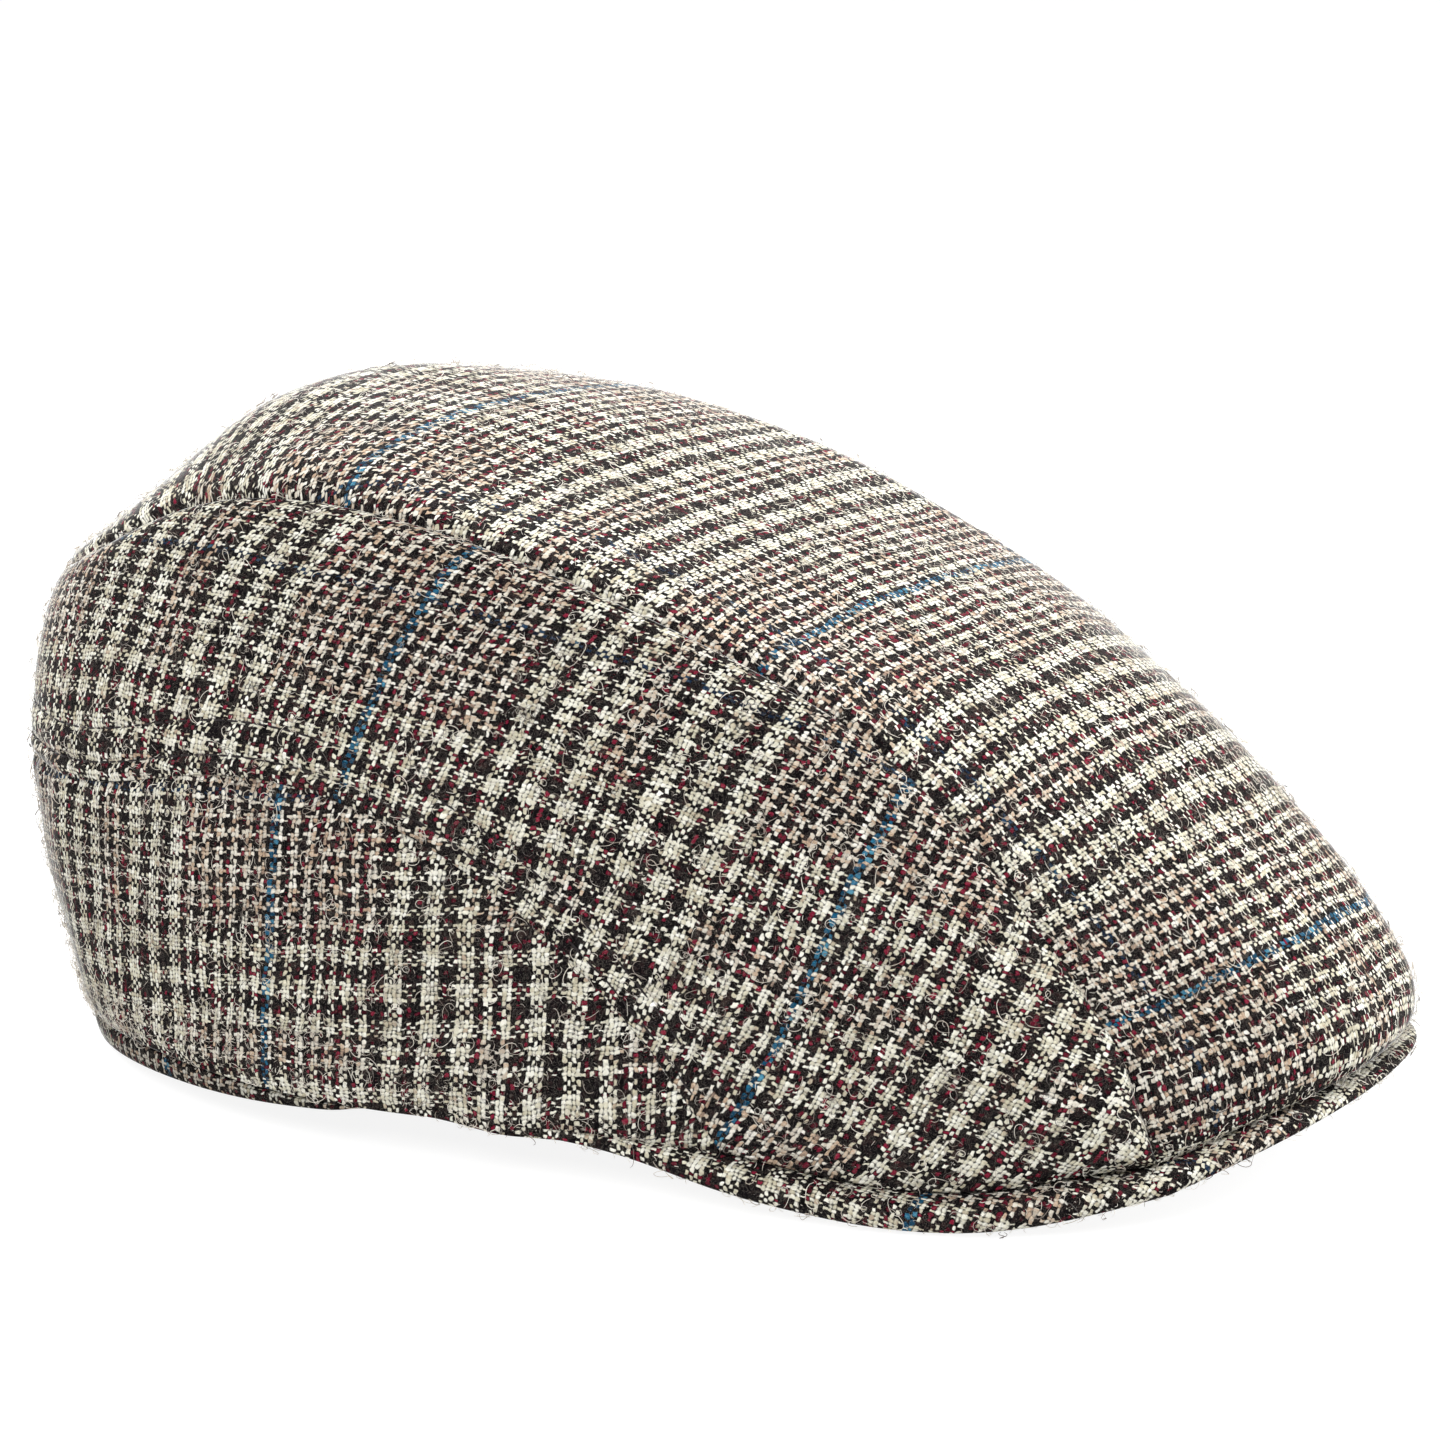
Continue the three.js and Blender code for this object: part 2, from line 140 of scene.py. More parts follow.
def at(s):
    """Each column's value at the stations s, read off its natural cubic curve."""
    u = np.clip(np.asarray(s, float) + 3, 0, len(KNOTS) - 1)
    i = np.minimum(np.floor(u).astype(int), len(KNOTS) - 2)
    b = (u - i)[..., None]
    a = 1 - b
    rows = a * KNOTS[i] + b * KNOTS[i + 1] + ((a**3 - a) * BEND[i] + (b**3 - b) * BEND[i + 1]) / 6
    found = {name: rows[..., c] for c, name in enumerate(COLUMNS)}
    found["fold"] = np.maximum(found["fold"], 0)
    found["lowZ"] = np.maximum(found["lowZ"], 0)
    return found


def unit(v):
    """The vectors v scaled to length one."""
    return v / np.maximum(np.linalg.norm(v, axis=-1, keepdims=True), 1e-9)


def ease(x):
    """Smooth step from 0 to 1."""
    t = np.clip(x, 0, 1)
    return t * t * (3 - 2 * t)


def near(d, width):
    """Bell curve of the distance d, one at zero."""
    return np.exp(-((d / width) ** 2))


def wall(side, s, v):
    """Outer face of the wall: the straight line from the lowest edge (v 0) to the top seam (v 1) of
    station s, swelled outward by 4 v (1 - v) times the station's bulge, more so in its upper half."""
    s, v = np.broadcast_arrays(np.asarray(s, float), np.asarray(v, float))
    flip = np.where(s < 0, -side, side)
    r = at(np.abs(s))
    low = np.stack([r["lowX"], r["lowY"], r["lowZ"]], -1)
    seam = np.stack([r["seamX"], r["seamY"], r["seamZ"]], -1)
    mid = (low + seam) / 2
    ahead = mid[..., 1] - np.clip(mid[..., 1], MIDDLE_FRONT, MIDDLE_BACK)
    out = unit(np.stack([mid[..., 0], ahead, np.zeros_like(v)], -1))
    swell = 4 * v * (1 - v) * (1 + SWELL_SKEW * (2 * v - 1)) * r["bulge"]
    p = low + (seam - low) * v[..., None] + out * swell[..., None]
    p[..., 0] *= flip
    return p


def top(s, t):
    """Outer face of the top panel: across from seam to seam (t -1 to 1) height and forward reach fall
    from the crest's to the seam's with the power of t that suits the station."""
    s, t = np.broadcast_arrays(np.asarray(s, float), np.asarray(t, float))
    r = at(s)
    w = np.abs(t) ** (TOP_POWER_BACK + (TOP_POWER_FRONT - TOP_POWER_BACK) * s / LAST)
    y = r["crestY"] + (r["seamY"] - r["crestY"]) * w
    z = r["crestZ"] + (r["seamZ"] - r["crestZ"]) * w
    return np.stack([r["seamX"] * t, y, z], -1)


def turned_out(normal, points):
    """Normals at the points, turned over where they look towards the cap's middle line."""
    zero = np.zeros_like(points[..., 0])
    y = np.clip(points[..., 1], MIDDLE_FRONT, MIDDLE_BACK)
    inside = np.stack([zero, y, zero + MIDDLE_HEIGHT], -1)
    return normal * np.where(((points - inside) * normal).sum(-1, keepdims=True) < 0, -1, 1)


def face_normal(face, a, b, e=0.004):
    """Unit normals of face(a, b) by central differences, turned away from the cap's inside."""
    n = unit(np.cross(face(a + e, b) - face(a - e, b), face(a, b + e) - face(a, b - e)))
    return turned_out(n, face(a, b))


def wall_normal(side, s, v):
    """Outward unit normals of the wall."""
    return face_normal(lambda a, b: wall(side, a, b), s, v)


def top_normal(s, t):
    """Outward unit normals of the top panel."""
    s = np.clip(s, 0.08, LAST - 0.005)
    return face_normal(lambda a, b: top(a, np.clip(b, -1, 1)), s, t)


def mitre(side, s):
    """Direction that both cloths share at the top seam: the sum of their normals, scaled so that an
    offset of one keeps that distance from both faces."""
    b = top_normal(s, np.full_like(s, side))
    a = wall_normal(side, s, np.ones_like(s))
    both = (a + b) / np.maximum(1 + (a * b).sum(-1, keepdims=True), 0.6)
    return np.where((s > LAST - 0.15)[..., None], b, both)


def crease(side, s):
    """How sharply the top seam bends at station s: the tangent of half the angle between its two
    faces, positive where the seam stands proud of them, fading out towards the front corner."""
    s = np.minimum(s, CREASE_LAST)
    a = wall_normal(side, s, np.ones_like(s))
    b = top_normal(s, np.full_like(s, side))
    beside = (wall(side, s, BESIDE_SEAM) + top(s, side * BESIDE_SEAM)) / 2
    cosine = (a * b).sum(-1)
    half = np.sqrt(np.clip((1 - cosine) / np.maximum(1 + cosine, 0.2), 0, 1))
    proud = np.sign(((top(s, side) - beside) * (a + b)).sum(-1))
    return half * proud * (1 - ease((s - CREASE_FADES) / CREASE_FADE))


def rounding(side, s, e):
    """Rounds the top seam over: within SOFT of it both faces sink on a parabola that meets at half the
    angle."""
    return -crease(side, s) * np.maximum(SOFT - e, 0) ** 2 / (2 * SOFT)


# Laying the panels flat, for the weave
RUN_STATIONS = np.linspace(0, LAST, 901)
CREST_BENDS = 7.6


def length_along(points):
    """Length along a row of points, from its first."""
    return np.concatenate([[0], np.cumsum(np.linalg.norm(np.diff(points, axis=0), axis=1))])


WALL_RUN = length_along(wall(1, RUN_STATIONS, 0.5) * [1, 1, 0])
TOP_RUN = length_along(top(RUN_STATIONS, 0.0))


def walked(walk, ahead):
    """For walks of points, the part that goes the way of ahead, and the length of the rest."""
    step = np.diff(walk, axis=-2)
    along = (step * ahead[..., None, :]).sum(-1)
    rest = np.sqrt(np.maximum((step**2).sum(-1) - along**2, 0))
    return along.sum(-1), rest.sum(-1)


def unrolled_wall(s, v):
    """Run and rise of wall points laid flat: a walk up each station's curve adds its part along the
    mid-height line to the run, and the rest to the rise."""
    s, v = np.broadcast_arrays(np.asarray(s, float), np.asarray(v, float))
    walk = wall(1, s[..., None], v[..., None] * np.linspace(0, 1, 17))
    ahead = unit((wall(1, s + 0.01, 0.5) - wall(1, s - 0.01, 0.5)) * [1, 1, 0])
    along, rise = walked(walk, ahead)
    start = ((walk[..., 0, :] - wall(1, s, 0.5)) * ahead).sum(-1)
    return np.interp(s, RUN_STATIONS, WALL_RUN) + start + along, walk[..., 0, 2] + rise


def unrolled_top(s, t):
    """Run and reach of top points laid flat: the run is the crest's length from the back plus the part
    along the crest of a walk across, the reach the rest of that walk from the middle line. Where the
    crest bends down at the front, the walk keeps the direction of CREST_BENDS."""
    s, t = np.broadcast_arrays(np.asarray(s, float), np.asarray(t, float))
    walk = top(s[..., None], t[..., None] * np.linspace(0, 1, 13))
    m = np.minimum(s, CREST_BENDS)
    along, across = walked(walk, unit(top(m + 0.01, 0.0) - top(m - 0.01, 0.0)))
    return np.interp(s, RUN_STATIONS, TOP_RUN) + along, np.sign(t) * across


# Where the side panel was cut from the cloth: run and rise of a crossing of two blue lines, the grain's
# turn, and the stretch across
SIDE_GRAIN = {"turn": math.radians(21.9), "run": 111.5, "rise": 164.4, "stretch": 1.035}
# The band's cloth: place at run 150 and rise 30, and what each millimetre of run and of rise adds to it
BAND_MIDDLE = (150, 30)
BAND_GRAIN = {"place": (18.05, 35.16), "run": (1.009, 0.116), "rise": (-0.0785, -0.976)}
# The top panel's cloth: where along the cap its blue lines lie, and the reach of the line along it
TOP_GRAIN = {
    "runs": (-85.0, 10.0, 105.5, 195.0, 290.0, 372.0), "lines": (-2, -1, 0, 1, 2, 2.84), "reach": -49.5,
}
# How far the cloth is eased over the crown, in millimetres across the yarns and along them: a column for
# each of four runs along the panel and a row for each of four rises, or of four reaches on the top. Behind
# its first run the top's easing stays the same.
SIDE_EASE = {
    "runs": (0, 100, 200, 300),
    "rises": (10, 45, 80, 115),
    "across": [
        [-15.6, -8.7, 1.8, -1.7],
        [6.3, -3.5, -1.2, -4.0],
        [29.6, 4.2, -0.3, -1.4],
        [45.6, 5.8, -4.5, -2.6],
    ],
    "along": [
        [92.1, 35.7, 1.2, -7.7],
        [80.8, 25.9, -3.5, -3.7],
        [79.7, 24.7, -1.1, 5.8],
        [88.8, 32.1, 8.2, 20.8],
    ],
}
TOP_EASE = {
    "runs": (60, 145, 230, 315),
    "rises": (-60, -20, 20, 60),
    "across": [
        [-7.1, 2.6, 3.7, 5.3],
        [-1.7, 3.5, 0.5, -1.4],
        [-2.7, 1.4, -2.1, -4.1],
        [-7.2, -0.6, -1.2, 0.2],
    ],
    "along": [
        [35.4, 2.5, 0.2, -4.4],
        [20.1, -5.8, -0.4, 2.9],
        [10.0, -11.4, -1.1, 7.7],
        [0.3, -19.2, -6.5, 5.1],
    ],
}


def shares(x, places):
    """Share that each of four places has in the cubic through them, at x."""
    return np.stack([np.prod([(x - b) / (a - b) for b in places if b != a], axis=0) for a in places], -1)


def eased(chart, run, rise):
    """Shift of the cloth at run and rise: the cubic through the chart's places, both ways."""
    columns, rows = shares(run, chart["runs"]), shares(rise, chart["rises"])
    return np.stack([
        (rows[..., :, None] * np.array(chart[way]) * columns[..., None, :]).sum((-2, -1))
        for way in ("across", "along")
    ], -1)


def side_weave(s, v):
    """Cloth coordinates of side-panel points: run and rise turned by the grain's angle, then eased."""
    run, rise = unrolled_wall(s, v)
    g = SIDE_GRAIN
    c, n = math.cos(g["turn"]), math.sin(g["turn"])
    across = (run * c - rise * n - g["run"]) * g["stretch"]
    return np.stack([across, run * n + rise * c - g["rise"]], -1) + eased(SIDE_EASE, run, rise)


def band_weave(s, v):
    """Cloth coordinates of band points: a straight mix of the run along the cap and the rise."""
    run, rise = unrolled_wall(s, v)
    mix = {key: np.array(value) for key, value in BAND_GRAIN.items()}
    along, up = run - BAND_MIDDLE[0], rise - BAND_MIDDLE[1]
    return mix["place"] + along[..., None] * mix["run"] + up[..., None] * mix["rise"]


def top_weave(s, t):
    """Cloth coordinates of top-panel points: the run counted in repeats between its blue lines and the
    reach, then eased."""
    run, reach = unrolled_top(s, t)
    across = CROSS_REPEAT * CROSS_YARN * np.interp(run, TOP_GRAIN["runs"], TOP_GRAIN["lines"])
    eased_run = np.maximum(run, TOP_EASE["runs"][0])
    return np.stack([across, reach - TOP_GRAIN["reach"]], -1) + eased(TOP_EASE, eased_run, reach)


def uneven(uv, seed, lengths=(22, 70), height=0.3):
    """Soft unevenness of worn cloth: the sum of twelve waves of random direction, length and phase."""
    rng = np.random.default_rng(seed)
    total = np.zeros(uv.shape[:-1])
    for _ in range(12):
        turn, phase = rng.uniform(0, 2 * math.pi, 2)
        k = 2 * math.pi / rng.uniform(*lengths)
        total += np.sin(k * (uv[..., 0] * math.cos(turn) + uv[..., 1] * math.sin(turn)) + phase)
    return total * height / 3


def piece(name, points, faces, uv, material):
    """A smooth-shaded mesh object from points in millimetres, quads and triangles, with one UV pair a
    point."""
    mesh = bpy.data.meshes.new(name)
    mesh.from_pydata(((points + [0, CENTRE_Y, 0]) / 1000).tolist(), [], faces)
    corner = np.zeros(len(mesh.loops), np.int32)
    mesh.loops.foreach_get("vertex_index", corner)
    layer = mesh.uv_layers.new(name="weave")
    layer.data.foreach_set("uv", uv[corner].astype(np.float32).ravel())
    mesh.polygons.foreach_set("use_smooth", np.ones(len(mesh.polygons), bool))
    mesh.materials.append(material)
    mesh.update()
    made = bpy.data.objects.new(name, mesh)
    bpy.context.scene.collection.objects.link(made)
    return made


def quads(grid):
    """Quads between the neighbours of a grid of point numbers."""
    return np.stack([grid[:-1, :-1], grid[1:, :-1], grid[1:, 1:], grid[:-1, 1:]], -1).reshape(-1, 4)


def volume(points, faces):
    """Signed volume of a closed body, faces being quads."""
    a, b, c, d = (points[faces[:, k]] for k in range(4))
    return ((a * np.cross(b, c)).sum() + (a * np.cross(c, d)).sum()) / 6


def shell(name, outer, inner, uv, material):
    """A closed cloth between an outer and an inner grid of points, joined round the rim."""
    n, m = outer.shape[:2]
    a = np.arange(n * m).reshape(n, m)
    b = a + n * m
    rim = [
        np.stack([a[:, 0], b[:, 0]], 1),
        np.stack([a[-1], b[-1]], 1),
        np.stack([a[::-1, -1], b[::-1, -1]], 1),
        np.stack([a[0, ::-1], b[0, ::-1]], 1),
    ]
    sides = [quads(r[::-1]) for r in rim]
    faces = np.concatenate([quads(a), quads(b)[:, ::-1], *sides])
    points = np.concatenate([outer.reshape(-1, 3), inner.reshape(-1, 3)])
    if volume(points, faces) < 0:
        faces = faces[:, ::-1]
    flat = uv.reshape(-1, 2)
    return piece(name, points, faces.tolist(), np.concatenate([flat, flat]), material)


def loft(name, rings, uv, material):
    """A closed body through rings of points, its two ends closed by a fan round their middle."""
    n, m = rings.shape[:2]
    grid = np.arange(n * m).reshape(n, m)
    faces = quads(np.concatenate([grid, grid[:, :1]], 1))
    points = rings.reshape(-1, 3)
    middles = np.stack([rings[0].mean(0), rings[-1].mean(0)])
    k = np.arange(m)
    first = np.stack([np.full(m, n * m), np.roll(k, -1), k, k], 1)
    last = np.stack([np.full(m, n * m + 1), grid[-1], np.roll(grid[-1], -1), np.roll(grid[-1], -1)], 1)
    points = np.concatenate([points, middles])
    everything = np.concatenate([faces, first, last])
    if volume(points, everything) < 0:
        everything = everything[:, ::-1]
    listed = [list(dict.fromkeys(f)) for f in everything.tolist()]
    ends = np.stack([uv[0].mean(0), uv[-1].mean(0)])
    return piece(name, points, listed, np.concatenate([uv.reshape(-1, 2), ends]), material)


def close_ends(n, lo=0.0, hi=1.0, even=0.3):
    """n + 1 shares from lo to hi, closer together towards both ends."""
    x = np.linspace(0, 1, n + 1)
    return lo + (hi - lo) * (even * x + (1 - even) * (0.5 - 0.5 * np.cos(math.pi * x)))


def station_where(test, lo, hi):
    """Station at which a falling test reaches zero, by halving."""
    for _ in range(40):
        mid = (lo + hi) / 2
        lo, hi = (mid, hi) if test(mid) > 0 else (lo, mid)
    return lo


def wall_height(s):
    """Straight distance from the lowest edge to the top seam."""
    return np.linalg.norm(wall(1, s, 1.0) - wall(1, s, 0.0), axis=-1)


# The band ends where 0.8 mm of its height is left, the side panel where 0.9 mm is
BAND_TIP = station_where(lambda s: float(at(s)["split"] * wall_height(s)) - 0.8, 4.5, 6)
SIDE_TIP = station_where(lambda s: float(wall_height(s)) - 0.9, 8, 9)

# Where the cloth is drawn down: from which station, and over how much of one or how many millimetres
CORNER_FROM = 7.5
CORNER_OVER = 1.5
FRONT_OVER = 12
TIP_FROM = 3.9
TIP_OVER = 0.42
TIP_TO = 4.9
TIP_FADE = 0.5
TIP_HEIGHT = 8.0


def front_left(s):
    """Length of the crest from the stations s to the crown's front edge."""
    return TOP_RUN[-1] - np.interp(s, RUN_STATIONS, TOP_RUN)


def corner_sag(s):
    """How far the crown's lower edge is drawn down over the peak towards its front corner."""
    return CORNER_SAG * ease((s - CORNER_FROM) / CORNER_OVER)


def front_sag(t):
    """The same along the front edge, most in its middle."""
    return CORNER_SAG + FRONT_SAG * (1 - t * t)


def settled(points, s, v, h):
    """Wall points drawn down: where the band's hem covers the peak's tip, and over the front corner."""
    along = ease((s - TIP_FROM) / TIP_OVER) * (1 - ease((s - TIP_TO) / TIP_FADE))
    tip = TIP_SAG * along * near(v * h, TIP_HEIGHT)
    high = CORNER_SAG * (1 - ease(front_left(s) / FRONT_OVER))
    low = corner_sag(s)
    points = points.copy()
    points[..., 2] = np.maximum(points[..., 2] - tip - low - (high - low) * v, 0)
    return points


# Seams and hems: how deep the cloth rolls in at its edge, and how far that reaches
ROLL = 0.95
SEAM_ROLL = 0.5
ROLL_REACH = 0.9
HEM_REACH = 2.2
UNDER_SEAM_ROLL = 0.7
UNDER_SEAM_REACH = 1.5
OVER_SEAM_ROLL = 0.6
OVER_SEAM_REACH = 1.2
# How near the top seam both cloths take its direction, and how near the hem the cloth is laid level
MITRE_REACH = 4.0
LEVEL_REACH = 2.5
LEVEL_DIP = 0.03
# A panel reaches the top seam, or the hem, past these height shares
TO_TOP_SEAM = 0.95
TO_HEM = 0.12
# Depth of the cloth's inner face below the line that its outer face is raised from
INNER_DEPTH = ROLL + CLOTH - 0.75
# The cloth stops this far from its seam lines
SEAM_GAP = 0.05
STITCH_LINES = (10.0, 3.7)


def levelled(normal):
    """Outward directions without their upward part, but dipping a little."""
    return normal * [1, 1, 0] + np.minimum(normal[..., 2:], -LEVEL_DIP) * [0, 0, 1]


def wall_cloth(name, side, stations, lower, upper, uv_of, relief, material, rows):
    """A wall panel between two height shares, with its edges rolled in and its relief raised."""
    s = stations[:, None] * np.ones((1, rows + 1))
    h = wall_height(s)
    lo, hi = lower(s, h), upper(s, h)
    v = lo + (hi - lo) * close_ends(rows)[None, :]
    base = wall(side, s, v)
    normal = wall_normal(side, s, v)
    up, down = (hi - v) * h, (v - lo) * h
    start = np.interp(s, RUN_STATIONS, WALL_RUN)
    uv = uv_of(s, v)
    seam = mitre(side, stations)[:, None, :]
    mitred = upper(s, h)[..., :1] > TO_TOP_SEAM
    hemmed = lo < TO_HEM
    turn = np.where(mitred[..., None], near(up, MITRE_REACH)[..., None], 0)
    way = normal * (1 - turn) + seam * turn
    hem = near(down, LEVEL_REACH)[..., None] * hemmed[..., None]
    way = way * (1 - hem) + levelled(normal) * hem
    below_seam = UNDER_SEAM_ROLL * near(up, UNDER_SEAM_REACH)
    above = np.where(mitred, SEAM_ROLL * near(up, ROLL_REACH), below_seam)
    over_seam = OVER_SEAM_ROLL * near(down, OVER_SEAM_REACH)
    below = np.where(hemmed, ROLL * near(down, HEM_REACH), over_seam)
    sunk = -np.maximum(np.maximum(above, below), SEAM_ROLL * near(start, ROLL_REACH))
    base = base + way * np.where(mitred, rounding(side, s, up), 0)[..., None]
    outer = settled(base + way * (sunk + relief(s, up, down, uv))[..., None], s, v, h)
    inner = settled(base - way * INNER_DEPTH, s, v, h)
    return shell(name, outer, inner, uv, material), outer


# Relief beside the seams, in millimetres. Puckers: height, pitch along the seam, how much and over what
# length the pitch sways, and how far from the seam they are strongest and reach
SIDE_PUCKERS = {"height": 0.22, "pitch": 2.1, "sway": 1.5, "over": 9, "place": 3, "reach": 5}
BAND_PUCKERS = {"height": 0.25, "pitch": 2.3, "sway": 1.2, "over": 7, "place": 2, "reach": 5}
# Swells: height, distance from the seam and reach
ALLOWANCE = ((0.35, 1.6, 1.6), (0.25, 7.0, 2.6))
RIDGE = (0.25, 3.2, 2.4)
GROOVE_DEPTH = 0.45
GROOVE_REACH = 0.8
# The waves start this far from a panel's edges
WAVES_FROM = 14
BAND_WAVES_FROM = 12


def swell(distance, size):
    """A swell's height at a distance from the seam: a bell curve."""
    height, place, reach = size
    return height * near(distance - place, reach)


def puckers(u, distance, size):
    """Puckers beside a seam: a sine along it whose phase sways, dying away with the distance."""
    phase = u / size["pitch"] + size["sway"] * np.sin(u / size["over"])
    return size["height"] * np.sin(phase) * near(distance - size["place"], size["reach"])


def side_relief(seed):
    """Relief of a side panel: soft waves, puckers at the lower seam, and the raised seam allowance that
    two rows of stitches hold down."""

    def relief(s, up, down, uv):
        waves = uneven(uv, seed) * ease(np.minimum(up, down) / WAVES_FROM)
        seamed = ease((BAND_TIP + 0.1 - s) / 0.25)
        beside = puckers(uv[..., 0], down, SIDE_PUCKERS) + sum(swell(down, size) for size in ALLOWANCE)
        for line in STITCH_LINES:
            beside = beside - GROOVE_DEPTH * near(down - line, GROOVE_REACH)
        return waves + beside * seamed + swell(up, RIDGE)

    return relief


def band_relief(seed):
    """Relief of a band: soft waves, and puckers below the upper seam."""

    def relief(s, up, down, uv):
        waves = uneven(uv, seed) * ease(np.minimum(up, down) / BAND_WAVES_FROM)
        return waves + puckers(uv[..., 0], up, BAND_PUCKERS)

    return relief


# The seam over the band runs out over this much of a station past the band's tip
SPLIT_ENDS = 0.12


def side_cloth(name, side, material, seed):
    """Side panel from the back seam to its point over the front of the peak."""
    stations = np.concatenate([np.linspace(0.004, 0.3, 14), np.linspace(0.3, SIDE_TIP, 236)[1:]])

    def lower(s, h):
        split = np.maximum(at(s)["split"], 0)
        return split * ease((BAND_TIP + SPLIT_ENDS - s) / SPLIT_ENDS) + SEAM_GAP / h

    def upper(s, h):
        return 1 - 0.04 / h

    relief = side_relief(seed)
    return wall_cloth(name, side, stations, lower, upper, side_weave, relief, material, 56)


def band_cloth(name, side, material, seed):
    """Band from the back seam to its front end over the peak's tip."""
    stations = np.concatenate([np.linspace(0.004, 0.3, 14), np.linspace(0.3, BAND_TIP, 150)[1:]])

    def lower(s, h):
        return at(s)["fold"] / h

    def upper(s, h):
        return at(s)["split"] - SEAM_GAP / h

    relief = band_relief(seed)
    return wall_cloth(name, side, stations, lower, upper, band_weave, relief, material, 44)


def top_cloth(name, material, seed):
    """Top panel from the back seam to the crown's front edge, cut along the top seams."""
    stations = np.concatenate([np.linspace(0.03, 0.5, 16), np.linspace(0.5, LAST, 240)[1:]])
    s = stations[:, None] * np.ones((1, 101))
    t = close_ends(100, -1, 1, 0.35)[None, :] * np.ones_like(s)
    base = top(s, t)
    normal = top_normal(s, t)
    uv = top_weave(s, t)
    reach = np.abs(at(s)["seamX"])
    edge = (1 - np.abs(t)) * reach
    front = front_left(s)
    left = mitre(1, stations)[:, None, :]
    right = mitre(-1, stations)[:, None, :]
    turn = near(edge, MITRE_REACH)[..., None]
    way = normal * (1 - turn) + np.where(t[..., None] > 0, left, right) * turn
    hem = near(front, LEVEL_REACH)[..., None]
    way = way * (1 - hem) + levelled(normal) * hem
    sunk = -np.maximum(SEAM_ROLL * near(edge, ROLL_REACH), ROLL * near(front, ROLL_REACH))
    soft = np.where(t > 0, rounding(1, s, edge), rounding(-1, s, edge))
    base = base + way * soft[..., None]
    waves = uneven(uv, seed, (26, 80), 0.35) * ease(np.minimum(edge, front) / WAVES_FROM)
    base[..., 2] -= front_sag(t) * (1 - ease(front / FRONT_OVER))
    outer = base + way * (sunk + waves + swell(edge, RIDGE))[..., None]
    return shell(name, outer, base - way * INNER_DEPTH, uv, material), outer


def rounded(rings, times=2):
    """Closed rings with their corners cut twice, which rounds them."""
    for _ in range(times):
        after = np.roll(rings, -1, axis=1)
        cut = np.stack([0.75 * rings + 0.25 * after, 0.25 * rings + 0.75 * after], 2)
        rings = cut.reshape(len(rings), -1, rings.shape[-1])
    return rings


# The lip's section from its top inward edge round to its underside: shares of its width and depth
LIP_SECTION = np.array([
    [-0.2, 0.0],
    [0.45, 0.06],
    [0.85, 0.2],
    [1.03, 0.42],
    [1.05, 0.66],
    [0.85, 0.9],
    [0.4, 1.0],
])
# Points of a rounded ring that lie on the lip
LIP_POINTS = 26


def lip_line():
    """The crown's lower edge over the peak from the right tip to the left: points, outward directions,
    share of the length, how full the peak's edge is there, and how far the crown is drawn down."""
    s = np.linspace(PEAK_TIP_STATION, LAST, 110)
    half = wall(-1, s, 0.0)
    past_tip = (s - PEAK_TIP_STATION) / (PEAK_FULL_STATION - PEAK_TIP_STATION)
    full = ease((s - 4) / 1.6) * ease(past_tip + 0.25)
    t = np.linspace(-1, 1, 90)[1:-1]
    front = top(LAST, t)
    sag = np.concatenate([corner_sag(s), front_sag(t), corner_sag(s[::-1])])
    line = np.concatenate([half, front, half[::-1] * [-1, 1, 1]])
    fulls = np.concatenate([full, np.ones(len(front)), full[::-1]])
    ahead = np.gradient(line, axis=0)
    out = unit(np.stack([ahead[:, 1], -ahead[:, 0], np.zeros(len(line))], -1))
    out *= np.where((out * (line + [0, 60, 0])).sum(-1, keepdims=True) < 0, -1, 1)
    run = length_along(line)
    return line, out, run / run[-1], fulls, sag


def way_round(rings):
    """Length along each ring from its first point."""
    steps = np.linalg.norm(np.diff(rings, axis=1), axis=2)
    return np.concatenate([np.zeros((len(rings), 1)), np.cumsum(steps, 1)], 1)


# Place of the cap's origin in the peak's cloth
PEAK_PLACE = (-101.0, 49.7)


